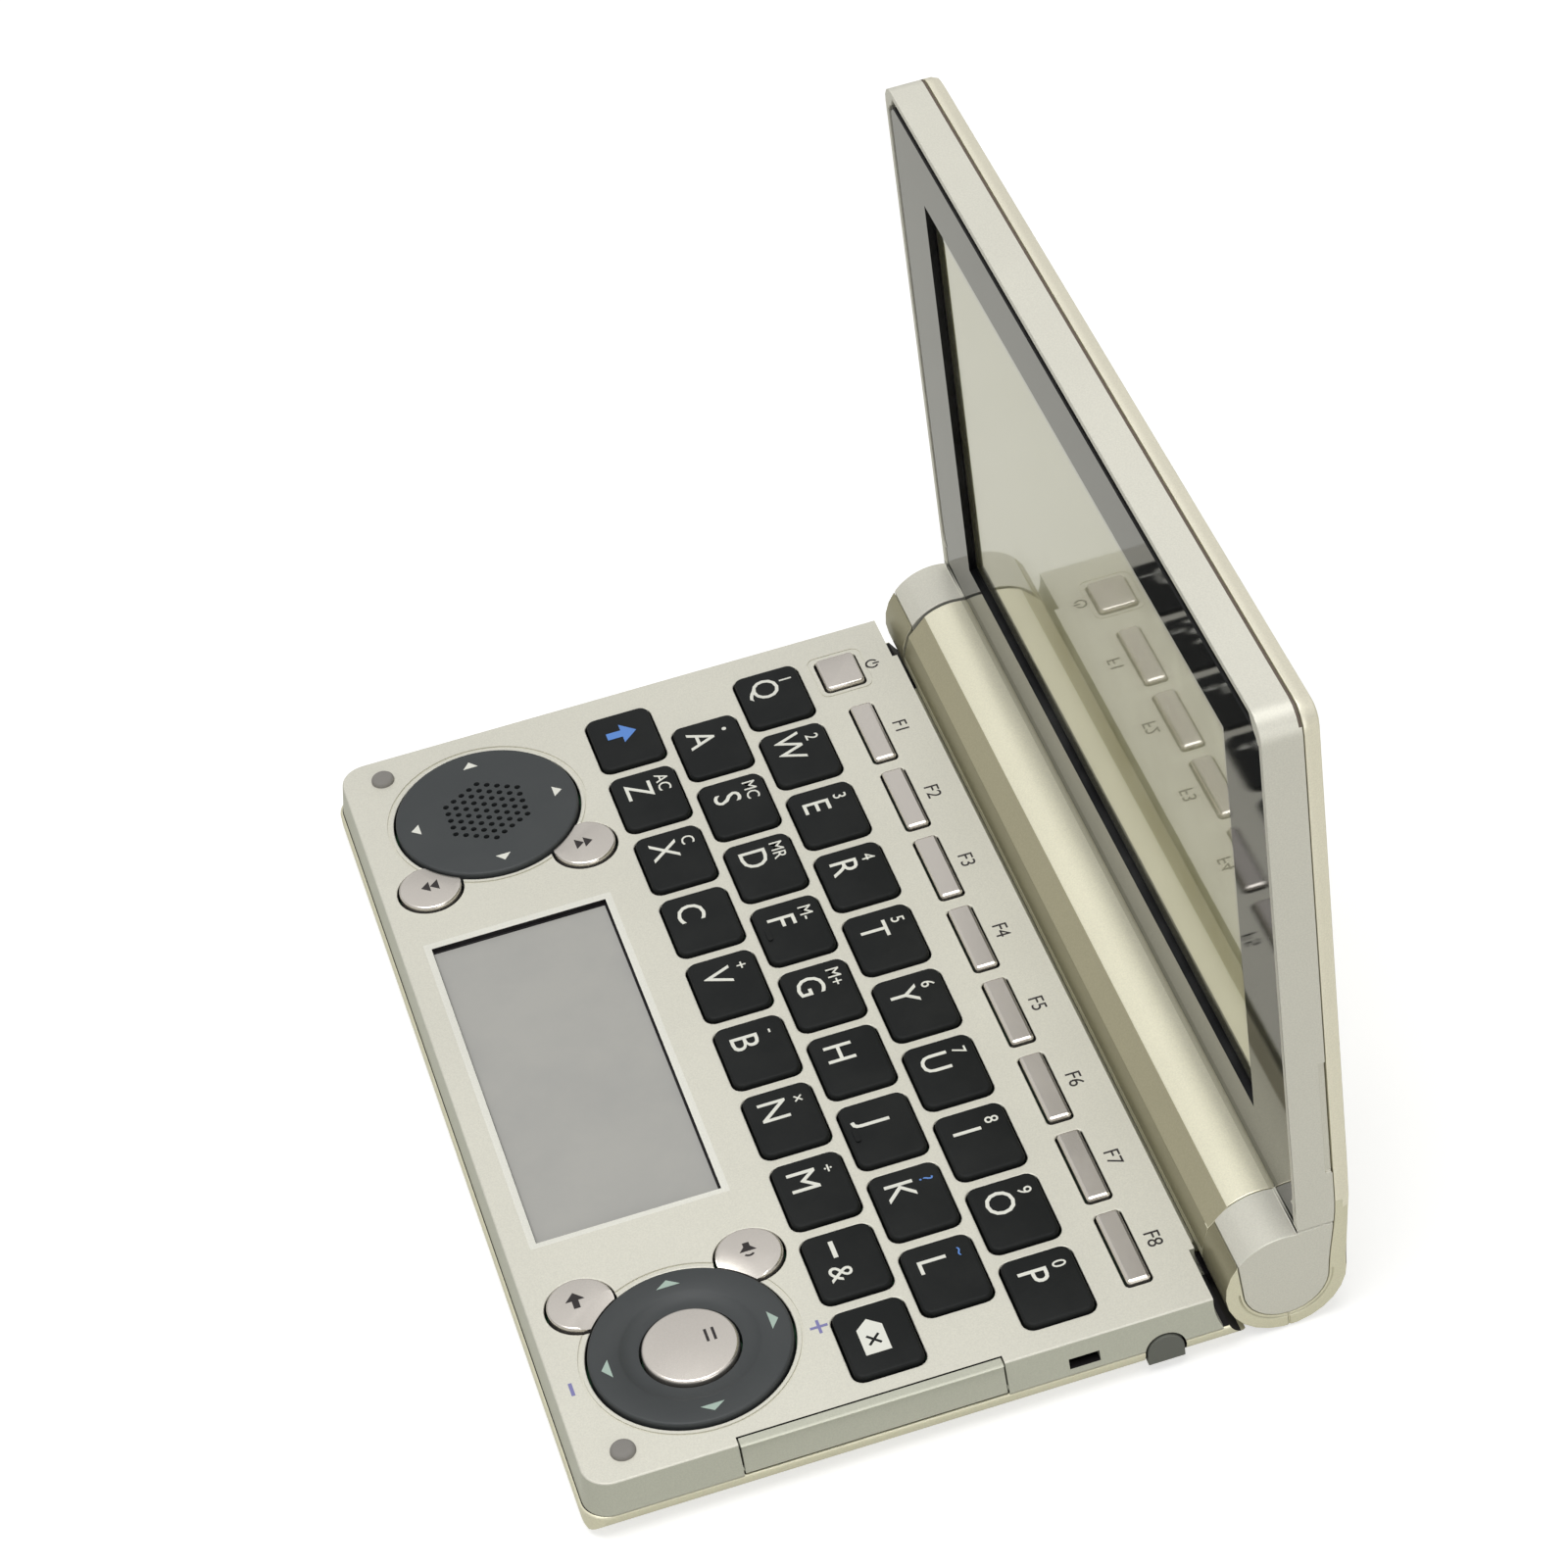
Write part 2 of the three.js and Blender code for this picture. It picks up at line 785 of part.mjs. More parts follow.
function saddles() {
  const half = stylusRadius + stylusFit + saddleWall;
  return saddleShares.map((share) => {
    const x = halfWidth - stylusLength * share;
    const rib = box(
      x - saddleLength / 2,
      x + saddleLength / 2,
      stylusY - half,
      stylusY + half,
      floorTop - footSink,
      stylusZ,
    );
    const notchRadius = stylusRadius + stylusFit;
    return rib.subtract(rod(stylusY, stylusZ, notchRadius, x - saddleLength, x + saddleLength, smallSides));
  });
}

function bottomCase() {
  const cavity = raised(baseOutline(wall, rearReach), floorTop, seamHeight + overrun, cornerSides);
  const shell = cut(lowerBody(), [cavity, neckRoom(floorTop)]);
  const filled = join([shell, ...feet(), ...boardPosts(), ...saddles()]);
  const barrelSeat = rod(hingeReach, hingeHeight, barrelRadius + neckFit, -halfWidth, halfWidth, barrelSides);
  return cut(filled, [...knuckleRooms(), barrelSeat, stylusHole()]);
}

// Circuit board with its speaker and its card and cable sockets underneath

function sockets() {
  const x1 = halfWidth - portStrip - socketGap;
  const x0 = x1 - socketDepth;
  const z0 = boardUnder - socketHeight - 2 * socketWall;
  return socketShares.map(([from, to]) => {
    const y0 = portY0 + portLength * from;
    const y1 = portY0 + portLength * to;
    const shell = box(x0, x1, y0, y1, z0, boardUnder + socketWall);
    const slot = box(
      x0 + socketWall,
      x1 + overrun,
      y0 + socketWall,
      y1 - socketWall,
      z0 + socketWall,
      boardUnder - socketWall,
    );
    return shell.subtract(slot);
  });
}

function circuitBoard() {
  const side = halfWidth - wall - boardInset;
  const plate = box(
    -side,
    side,
    wall + boardInset - frontReach,
    rearReach - boardRear,
    boardUnder,
    boardTop,
  );
  const speakerFoot = boardUnder - speakerDepth;
  const coneTop = boardUnder - speakerDepth / 2;
  const speaker = raised(circle(-padX, padY, speakerRadius), speakerFoot, boardTop, buttonSides);
  const grille = circle(-padX, padY, grilleRings * grillePitch);
  const mouth = raised(grille, coneTop, boardTop + overrun, buttonSides);
  const headRoom = box(
    halfWidth - stylusHeadLength - 2 * stylusFit,
    halfWidth,
    stylusY - stylusHeadWidth / 2 - stylusFit,
    hingeReach,
    floorTop,
    boardTop + overrun,
  );
  return cut(join([plate, speaker, ...sockets()]), [mouth, headRoom]);
}

// Hinge barrel: fixed to the base by its neck, it holds the cells in a row and is closed from below

const bayHalf = barrelHalf - shaftLength / 2 - bayEndWall;
const cellLength = bayHalf - cellEndGap;
const bayRadius = cellRadius + cellFit;

function batteryBarrel() {
  const tube = rod(hingeReach, hingeHeight, barrelRadius, -barrelHalf, barrelHalf, barrelSides);
  const neck = box(-neckHalf, neckHalf, rearReach - neckReach, hingeReach, floorTop, neckTop);
  const bay = rod(hingeReach, hingeHeight, bayRadius, -bayHalf, bayHalf, barrelSides);
  const mouth = box(
    -bayHalf,
    bayHalf,
    hingeReach - bayRadius,
    hingeReach + bayRadius,
    -overrun,
    hingeHeight,
  );
  const bores = [-1, 1].map((side) => shaftRod(side, shaftRadius + shaftFit, shaftFit));
  return cut(tube.add(neck), [bay, mouth, ...bores]);
}

function shaftRod(side, radius, grow) {
  const x0 = barrelHalf - shaftLength / 2 - grow;
  const x1 = barrelHalf + shaftLength / 2 + grow;
  const [from, to] = side < 0 ? [-x1, -x0] : [x0, x1];
  return rod(hingeReach, hingeHeight, radius, from, to, smallSides);
}

function batteryCover() {
  const half = bayRadius - doorFit;
  const block = box(
    doorFit - bayHalf,
    bayHalf - doorFit,
    hingeReach - half,
    hingeReach + half,
    -overrun,
    hingeHeight - doorDrop,
  );
  const skin = rod(hingeReach, hingeHeight, barrelRadius, -bayHalf, bayHalf, barrelSides);
  const bay = rod(hingeReach, hingeHeight, bayRadius, -bayHalf - overrun, bayHalf + overrun, barrelSides);
  return skin.intersect(block).subtract(bay);
}

// Two cells in a row, the first one's button pressed against the second one's base
function batteries() {
  const cell = (x0) => {
    const shoulder = x0 + cellLength - cellButtonLength;
    return [
      rod(hingeReach, hingeHeight, cellRadius, x0, shoulder, buttonSides),
      rod(hingeReach, hingeHeight, cellButton, shoulder - cellPress, x0 + cellLength + cellPress, smallSides),
    ];
  };
  return join([...cell(-cellLength), ...cell(0)]);
}

// Lid, in the frame of its hinge line: Y is the depth behind the line, Z the height above it

function lidOutline(low, inset = 0) {
  const half = lidHalf - inset;
  const high = lidTop - inset;
  const radius = Math.max(lidCorner - inset, windowSink);
  const shape = new THREE.Shape();
  shape.moveTo(-half, low);
  shape.lineTo(half, low);
  shape.absarc(half - radius, high - radius, radius, 0, Math.PI / 2);
  shape.absarc(radius - half, high - radius, radius, Math.PI / 2, Math.PI);
  shape.closePath();
  return shape;
}

// The knuckle's silver core: a round end that runs up into the lid, with its lower half left to the cover.
// In front, the joint between them runs straight down from the seam to the middle of the core.
const seamTurn = Math.PI - THREE.MathUtils.degToRad(coverSeamAngle);

function coreShape() {
  const shape = new THREE.Shape();
  shape.moveTo(barrelRadius * Math.cos(seamTurn), barrelRadius * Math.sin(seamTurn));
  shape.absarc(0, 0, barrelRadius, seamTurn, Math.acos(lidFront / barrelRadius), true);
  shape.lineTo(lidFront, lidJointHeight);
  shape.lineTo(lidSeam, lidJointHeight);
  shape.lineTo(lidSeam, coreRise);
  shape.bezierCurveTo(lidSeam, coreRise / 2, coreRadius, coreRise / 2, coreRadius, 0);
  shape.absarc(0, 0, coreRadius, 0, -Math.PI, true);
  shape.closePath();
  return shape;
}

// The cover in side view: the flat back, a soft tail and the round shell under the core
function coverShape() {
  const end = seamTurn - 2 * Math.PI + coverSeam / coreRadius;
  const inner = coreRadius + coverSeam;
  const shape = new THREE.Shape();
  shape.moveTo(lidSeam + coverSeam, lidTop);
  shape.lineTo(lidSeam + coverSeam, coreRise);
  shape.bezierCurveTo(lidSeam + coverSeam, coreRise / 2, inner, coreRise / 2, inner, 0);
  shape.absarc(0, 0, inner, 0, -Math.PI, true);
  shape.absarc(0, 0, barrelRadius, end, 0, false);
  const [lowShare, highShare] = tailShares;
  shape.bezierCurveTo(barrelRadius, tailRise * lowShare, lidBack, tailRise * highShare, lidBack, tailRise);
  shape.lineTo(lidBack, lidTop);
  shape.closePath();
  return shape;
}

const knuckleInner = barrelHalf + knuckleGap;
const displayX = bodyWidth * displayCentreShare - halfWidth;
const displayWidth = 2 * (lidHalf - displaySide);
const panelFront = lidFront + windowSink;
const panelBack = panelFront + windowThickness;

function displayBox(grow, y0, y1) {
  return box(
    displayX - displayWidth / 2 - grow,
    displayX + displayWidth / 2 + grow,
    y0,
    y1,
    displayRise - grow,
    displayRise + displayHeight + grow,
  );
}

function panelShape(grow) {
  return roundedRect(
    windowRim - lidHalf - grow,
    lidHalf - windowRim + grow,
    lidJointHeight - grow,
    lidTop - windowRim + grow,
    windowCorner + grow,
  );
}

function lidCavity(y0, y1) {
  return box(
    lidWall - lidHalf,
    lidHalf - lidWall,
    y0,
    y1,
    lidJointHeight + lidWall,
    lidTop - lidWall,
  );
}

// Room for the barrel between the knuckles
function barrelRoom() {
  return rod(0, 0, barrelRadius + lidBarrelGap, -knuckleInner, knuckleInner, barrelSides);
}

function lidFrame() {
  const face = upright(lidOutline(lidTailLift), lidFront, lidSeam, cornerSides);
  const corners = [-1, 1].map((side) =>
    side < 0
      ? box(-halfWidth, -knuckleInner, 0, lidBack, 0, lidJointHeight)
      : box(knuckleInner, halfWidth, 0, lidBack, 0, lidJointHeight),
  );
  const groove = box(
    lidHalf - grooveDepth,
    halfWidth,
    lidSeam - grooveWidth,
    lidSeam + overrun,
    grooveRise,
    grooveRise + grooveLength,
  );
  const frame = cut(face, [
    ...corners,
    barrelRoom(),
    lidCavity(lidFront + lidFace, lidBack),
    displayBox(displayFit, lidFront, lidBack),
    upright(panelShape(windowFit), lidFront - overrun, panelBack, cornerSides),
    groove,
  ]);
  const cores = [
    along(coreShape(), knuckleInner, lidHalf, coreSides),
    along(coreShape(), -lidHalf, -knuckleInner, coreSides),
  ];
  const bores = [-1, 1].map((side) =>
    shaftRod(side, shaftRadius + shaftFit, shaftFit).translate([0, -hingeReach, -hingeHeight]),
  );
  return cut(join([frame, ...cores]), bores);
}

function lidCover() {
  const whole = along(coverShape(), -lidHalf, lidHalf, coreSides);
  const middle = box(
    -knuckleInner,
    knuckleInner,
    -barrelRadius - overrun,
    barrelRadius + overrun,
    -barrelRadius - overrun,
    lidTailLift,
  );
  const low = -barrelRadius - overrun - lidBackEdge;
  const rounded = upright(lidOutline(low), low, lidBack, cornerSides, lidBackEdge);
  const shell = cut(whole.intersect(rounded), [middle, barrelRoom(), lidCavity(0, lidBack - lidWall)]);
  return join([shell, ...displayPosts()]);
}

// Posts inside the cover that press the display against the frame
function displayPosts() {
  const half = postWidth / 2;
  const y0 = panelBack + displayGap + displayThickness;
  const xs = postShares.map((share) => displayX + displayWidth * (share - postShares[1]));
  const zs = [displayRise + postWidth, displayRise + displayHeight - postWidth];
  return xs.flatMap((x) =>
    zs.map((z) => box(x - half, x + half, y0, lidBack - lidWall + footSink, z - half, z + half)),
  );
}

function mainDisplay() {
  const y0 = panelBack + displayGap;
  return displayBox(0, y0, y0 + displayThickness);
}

function displayWindow() {
  return upright(panelShape(0), panelFront, panelBack, cornerSides);
}

// Assembly

addPiece("top_case", geometryOf(topCase()), silver);
addPiece("bottom_case", geometryOf(bottomCase()), gold);
addPiece("battery_barrel", geometryOf(batteryBarrel()), gold);
addPiece("batteries", geometryOf(batteries()), cellSleeve);
addPiece("battery_cover", geometryOf(batteryCover()), gold);
addPiece("circuit_board", geometryOf(circuitBoard()), boardGreen);
addPiece("sub_display", geometryOf(subDisplay()), touchGrey);
addPiece("hinge_shaft_left", geometryOf(shaftRod(-1, shaftRadius, 0)), steel);
addPiece("hinge_shaft_right", geometryOf(shaftRod(1, shaftRadius, 0)), steel);
addPiece("port_cover", geometryOf(portCover()), silver);
addPiece("stylus", geometryOf(stylus()), stylusGrey);
addPads();
addKeys();
addPiece("lid_frame", geometryOf(lidFrame()), silver, lid);
addPiece("lid_cover", geometryOf(lidCover()), gold, lid);
addPiece("main_display", geometryOf(mainDisplay()), displayGrey, lid);
addPiece("display_window", geometryOf(displayWindow()), greyGlass, lid);

export default dictionary;
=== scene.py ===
"""A pocket electronic dictionary, opened to a right angle: its cases, keys, pads, displays, floor and lamps.

Pieces are shaped in millimetres, X along the hinge, Y back from the front edge, Z up, and settled in metres.
"""
import math

import bmesh
import bpy
from mathutils import Matrix, Vector


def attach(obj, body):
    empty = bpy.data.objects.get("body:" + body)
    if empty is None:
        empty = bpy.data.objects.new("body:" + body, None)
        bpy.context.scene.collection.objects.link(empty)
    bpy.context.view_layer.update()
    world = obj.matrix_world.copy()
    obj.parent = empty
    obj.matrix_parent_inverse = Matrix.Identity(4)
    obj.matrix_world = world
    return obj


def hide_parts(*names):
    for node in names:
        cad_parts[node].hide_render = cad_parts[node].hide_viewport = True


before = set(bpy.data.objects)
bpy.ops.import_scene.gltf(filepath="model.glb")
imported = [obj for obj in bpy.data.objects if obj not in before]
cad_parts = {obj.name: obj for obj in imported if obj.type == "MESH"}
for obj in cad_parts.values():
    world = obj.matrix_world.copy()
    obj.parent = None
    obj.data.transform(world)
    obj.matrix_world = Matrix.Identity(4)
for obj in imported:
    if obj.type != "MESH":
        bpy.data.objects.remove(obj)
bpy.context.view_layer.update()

MM = 0.001
SIDES = (-1, 1)

# Closer than this is the same place; a reach past every side; heights below and above all caps
NEAR = 0.01
FAR = 80.0
THROUGH = (6.0, 12.0)

# Base: half width, front and rear edge, and the heights of its faces
WIDE = 74.0
FRONT = -52.0
REAR = 32.95
TOP = 9.6
UNDER = 8.1
SEAM = 4.2
FLOOR_TOP = 2.1
FOOT = 0.9
CORNER = 3.8
CAVITY_CORNER = 3.1
SKIN = 1.4
FRONT_SKIN = 2.2

# The silver upper case leans inwards: its foot, how its top face shrinks, and the eased rim of its holes
SILVER_SIDE = 73.95
SILVER_FRONT = -51.5
SILVER_REAR = 35.6
LEAN = (0.9912, 0.9914)
LIP = 0.22

# Hinge line (y, z), barrel, the room about barrel and knuckles, the barrel's neck, cell bay and shaft bores
HINGE = (42.4, 8.6)
BARREL = 8.25
BARREL_END = 63.9
BARREL_ROOM = 9.2
KNUCKLE_ROOM = 9.95
NECK_SIDE = 60.2
NECK_FRONT = 29.25
NECK_TOP = 6.3
PLAY = 0.3
BAY_SIDE = 46.0
BAY_RADIUS = 5.6
BORE_ENDS = (56.1, 66.0)
BORE_RADIUS = 2.3

# Lid: outlines (left, right, foot, top) and depths of the border and the display behind it, the fine lines at
# its ends, the groove at its foot, and the joint of frame and cover as (depth, height) from the hinge line
BEZEL = (-71.95, 71.95, 16.95, 100.0)
WINDOW = (-59.0, 58.6, 25.9, 90.8)
GLASS = (-60.71, 60.29, 24.2, 94.1)
MARGIN = (-58.1, 57.7, 26.8, 89.9)
PANE = (-55.3, 54.9, 29.6, 87.1)
BEZEL_FRONT = 44.5
BEZEL_BACK = 45.5
GLASS_BACK = 48.5
SEAM_WIDTH = 0.42
LINE_FLOOR = 73.12
LINE_Z = (16.85, 17.1)
RAIL = (-71.97, 71.97, 43.9, 44.55, 16.8, 21)
JOINT = [(5.8, 0), (5.86, 1.0), (5.98, 2.2), (6.16, 3.6), (6.4, 5.2), (6.66, 7.0), (6.9, 8.8), (7.06, 10.6),
         (7.13, 12.1)]

# Caps: their foot and face, the gap about them, sizes and places
CAP_FOOT = 7.0
KEY_TOP = 10.2
CAP_GAP = 0.6
KEY_SIZE = (11.83, 9.49)
KEY_PITCH = (13.96, 11.43)
KEY_FIRST = (-62.32, 13.55)
FUNCTION_SIZE = (12.9, 3.2)
FUNCTION_X = [-48.9 + i * 15.64 for i in range(8)]
FUNCTION_Y = 24.79
POWER_SIZE = (6.9, 5.8)
POWER_PLACE = (-63.85, 24.25)
PAD_X = 55.31
PAD_Y = -32.2
PAD_R = 13.4
PAD_FOOT = 7.4
PAD_GAP = 0.35
ROUND_R = 4.5
ROUND_OFF = (12.4, 11.5)
ENTER_R = 6.4
ENTER_FOOT = 7.9
WELL_R = 6.75

# Small display: left, right, front, rear and height; its window's upright wall, bevel width and bevel rise
TOUCH = (-30.91, 29.71, -46.41, -20.81)
TOUCH_Z = 8.6
TOUCH_RIM = (0.16, 3.0, 0.48)

# Openings of the right side (front, rear, low, high), and the stylus head (middle, half width, low, high)
PORT = (-30.95, 4.45)
STRAP = (12.675, 16.825, 5.3, 6.95)
STYLUS = (25.5, 2.5, 1.6, 6.1)
STYLUS_DEPTH = 9.3
STYLUS_ARCH = 2.4

# Legends
RAISED = 0.03
LETTER_SIZE = 5.7
SMALL_SIZE = 2.7


# Shader groups

def group(name, inputs):
    """A shader group with these inputs, which gives a colour, a roughness and a height."""
    tree = bpy.data.node_groups.new(name, "ShaderNodeTree")
    for label, value in inputs.items():
        kind = "NodeSocketColor" if isinstance(value, tuple) else "NodeSocketFloat"
        socket = tree.interface.new_socket(label, in_out="INPUT", socket_type=kind)
        socket.default_value = value
    for label, kind in (("Color", "Color"), ("Roughness", "Float"), ("Height", "Float")):
        tree.interface.new_socket(label, in_out="OUTPUT", socket_type="NodeSocket" + kind)
    return tree, tree.nodes.new("NodeGroupInput").outputs, tree.nodes.new("NodeGroupOutput").inputs


def feed(tree, socket, value):
    """Put a number or a colour on a socket, or link another socket to it."""
    if isinstance(value, (int, float, tuple)):
        socket.default_value = value
    else:
        tree.links.new(value, socket)


def noise(tree, scale_from, scale, detail, rough=0.5):
    """A noise texture on Object coordinates; its scale is a number, or a socket times that number."""
    place = tree.nodes.new("ShaderNodeTexCoord")
    node = tree.nodes.new("ShaderNodeTexNoise")
    node.inputs["Detail"].default_value = detail
    node.inputs["Roughness"].default_value = rough
    tree.links.new(place.outputs["Object"], node.inputs["Vector"])
    if scale_from is not None:
        scale = math_node(tree, "MULTIPLY", scale_from, scale)
    feed(tree, node.inputs["Scale"], scale)
    return node


def math_node(tree, operation, first, second=0.0, clamp=False):
    node = tree.nodes.new("ShaderNodeMath")
    node.operation = operation
    node.use_clamp = clamp
    for socket, value in zip(node.inputs, (first, second)):
        feed(tree, socket, value)
    return node.outputs[0]


def spread(tree, value, low, high, to_low, to_high):
    """Map a value from one range to another."""
    node = tree.nodes.new("ShaderNodeMapRange")
    labels = ("Value", "From Min", "From Max", "To Min", "To Max")
    for label, number in zip(labels, (value, low, high, to_low, to_high)):
        feed(tree, node.inputs[label], number)
    return node.outputs["Result"]


def mix(tree, factor, first, second):
    """Mix two colours."""
    node = tree.nodes.new("ShaderNodeMix")
    node.data_type = "RGBA"
    for index, value in (("Factor", factor), (6, first), (7, second)):
        feed(tree, node.inputs[index], value)
    return node.outputs[2]


def painted_finish():
    """Sprayed paint: fine flakes in the colour, faint handling marks in the gloss, orange peel in the height."""
    tree, given, made = group("painted_finish", {"Color": (0.7, 0.7, 0.7, 1.0), "Flake": 0.06, "Grain": 1.0,
                                                 "Roughness": 0.4, "Wear": 0.08})
    flakes = noise(tree, given["Grain"], 4200.0, 2.0, 0.7).outputs["Fac"]
    patches = noise(tree, None, 38.0, 4.0, 0.55).outputs["Fac"]
    peel = noise(tree, given["Grain"], 900.0, 2.0).outputs["Fac"]
    darker = math_node(tree, "SUBTRACT", 1.0, given["Flake"])
    lighter = math_node(tree, "ADD", 1.0, given["Flake"])
    level = spread(tree, flakes, 0.3, 0.7, darker, lighter)
    cast = spread(tree, patches, 0.3, 0.7, 0.985, 1.015)
    scale = tree.nodes.new("ShaderNodeVectorMath")
    scale.operation = "SCALE"
    tree.links.new(given["Color"], scale.inputs[0])
    tree.links.new(math_node(tree, "MULTIPLY", level, cast), scale.inputs["Scale"])
    tree.links.new(scale.outputs[0], made["Color"])
    lift = spread(tree, patches, 0.35, 0.7, 0.0, given["Wear"])
    tree.links.new(math_node(tree, "ADD", given["Roughness"], lift, clamp=True), made["Roughness"])
    tree.links.new(math_node(tree, "ADD", peel, math_node(tree, "MULTIPLY", flakes, 0.3)), made["Height"])
    return tree


def moulded_finish():
    """Moulded plastic: a spark-eroded grain in the height, with dust and rubbing in the colour and the gloss."""
    tree, given, made = group("moulded_finish", {"Color": (0.03, 0.03, 0.03, 1.0), "Dust": (0.2, 0.2, 0.19, 1.0),
                                                 "Dustiness": 0.1, "Grain": 1.0, "Roughness": 0.5, "Wear": 0.1})
    grain = noise(tree, given["Grain"], 5200.0, 3.0, 0.6).outputs["Fac"]
    smears = noise(tree, None, 90.0, 5.0, 0.6).outputs["Fac"]
    dusty = math_node(tree, "MULTIPLY", spread(tree, smears, 0.4, 0.75, 0.0, 1.0), given["Dustiness"])
    tree.links.new(mix(tree, dusty, given["Color"], given["Dust"]), made["Color"])
    lift = spread(tree, smears, 0.3, 0.7, 0.0, given["Wear"])
    tree.links.new(math_node(tree, "ADD", given["Roughness"], lift, clamp=True), made["Roughness"])
    tree.links.new(grain, made["Height"])
    return tree


PAINTED = painted_finish()
MOULDED = moulded_finish()


def shade(red, green, blue):
    """A colour read off as screen levels from 0 to 255, turned into the linear values a shader takes."""
    def linear(level):
        share = level / 255
        return share / 12.92 if share <= 0.04045 else ((share + 0.055) / 1.055) ** 2.4
    return (linear(red), linear(green), linear(blue), 1.0)


def material(name, levels, finish, bump, metallic=0.0, coat=0.0, coat_rough=0.05, ior=1.5, specular=0.5, **values):
    """A Principled material whose colour, gloss and bump come from one of the finish groups."""
    made = bpy.data.materials.new(name)
    made.use_nodes = True
    tree = made.node_tree
    shader = tree.nodes["Principled BSDF"]
    source = tree.nodes.new("ShaderNodeGroup")
    source.node_tree = finish
    source.inputs["Color"].default_value = shade(*levels)
    for label, value in values.items():
        source.inputs[label].default_value = value
    tree.links.new(source.outputs["Color"], shader.inputs["Base Color"])
    tree.links.new(source.outputs["Roughness"], shader.inputs["Roughness"])
    height = tree.nodes.new("ShaderNodeBump")
    height.inputs["Strength"].default_value = bump
    height.inputs["Distance"].default_value = 0.00004
    tree.links.new(source.outputs["Height"], height.inputs["Height"])
    tree.links.new(height.outputs["Normal"], shader.inputs["Normal"])
    for label, value in (("Metallic", metallic), ("IOR", ior), ("Specular IOR Level", specular),
                         ("Coat Weight", coat), ("Coat Roughness", coat_rough)):
        shader.inputs[label].default_value = value
    return made


SILVER = {"finish": PAINTED, "bump": 0.25, "metallic": 0.2, "Roughness": 0.42}
GOLD = {"finish": PAINTED, "bump": 0.2, "metallic": 0.4}
PRINT = {"finish": MOULDED, "bump": 0.1}
CRYSTAL = {"finish": MOULDED, "bump": 0.02, "coat": 1.0, "coat_rough": 0.02, "ior": 2.0, "specular": 0.6,
           "Roughness": 0.06, "Dustiness": 0.2}

silver = material("silver_paint", (219, 217, 204), **SILVER)
# Painted shade: a darker copy of the silver for the upright outer walls and the port flap
silver_side_shade = material("silver_sides_painted_shade", (192, 193, 177), **SILVER)
# Painted highlight: a lighter copy of the silver for the bevel round the small display
silver_lip_highlight = material("silver_lips_painted_highlight", (230, 229, 219), **SILVER)
gold = material("gold_paint", (221, 217, 191), **GOLD, Roughness=0.34)
# Painted highlight: a lighter copy of the gold for the lid cover's sides and top
gold_rim_highlight = material("gold_rim_painted_highlight", (238, 233, 212), **GOLD, Roughness=0.34)
# Painted shade: a darker copy of the gold for the barrel's lower land and the knuckles' front
gold_shade = material("gold_front_painted_shade", (152, 147, 120), **GOLD, Roughness=0.3)
# Painted shade: a darker copy of the gold for the barrel's upper land
gold_mid_shade = material("gold_middle_painted_shade", (184, 178, 148), **GOLD, Roughness=0.3)
# Painted highlight: a lighter copy of the gold for the barrel's upper front and its low strip in the gap
gold_highlight = material("gold_top_painted_highlight", (250, 246, 220), **GOLD, Roughness=0.3)
seam_shade = material("seam_shade", (92, 80, 68), PAINTED, bump=0.1, Roughness=0.5)
key_plastic = material("key_plastic", (22, 24, 24), MOULDED, bump=0.35, specular=0.16, Roughness=0.5,
                       Dustiness=0.04)
pad_plastic = material("pad_plastic", (62, 65, 66), MOULDED, bump=0.3, specular=0.3, Roughness=0.46,
                       Dustiness=0.05)
plating = material("bright_plating", (214, 208, 200), PAINTED, bump=0.12, metallic=0.85, Roughness=0.16,
                   Flake=0.03, Wear=0.1)
white_print = material("white_print", (232, 232, 222), **PRINT, Roughness=0.5, Dustiness=0.1)
blue_print = material("blue_print", (92, 140, 214), **PRINT, Roughness=0.5)
violet_print = material("violet_print", (128, 126, 178), **PRINT, Roughness=0.5)
dark_print = material("dark_print", (52, 48, 48), **PRINT, specular=0.2, Roughness=0.5)
green_print = material("green_print", (170, 190, 178), **PRINT, Roughness=0.45)
rubber = material("bumper_rubber", (140, 137, 132), MOULDED, bump=0.5, specular=0.2, Roughness=0.7,
                  Dustiness=0.2)
foot_rubber = material("foot_rubber", (66, 66, 64), MOULDED, bump=0.5, specular=0.3, Roughness=0.75,
                       Dustiness=0.3)
# Painted shade: a dark coat for hollows, holes, slots and gaps
shade_dark = material("painted_shade_dark", (20, 17, 20), MOULDED, bump=0.3, specular=0.2, Roughness=0.6)
bezel_gloss = material("bezel_gloss", (30, 30, 29), MOULDED, bump=0.02, Roughness=0.02, Wear=0.02, Dustiness=0.02)
# Black for cut edges and the display's border; round the bezel's outside it is painted shade in the gap to the
# frame
black_edge_and_shade = material("black_edge_and_shade", (14, 14, 16), **PRINT, specular=0.2, Roughness=0.3)
crystal = material("crystal_panel", (160, 156, 98), **CRYSTAL, Dust=shade(150, 146, 92))
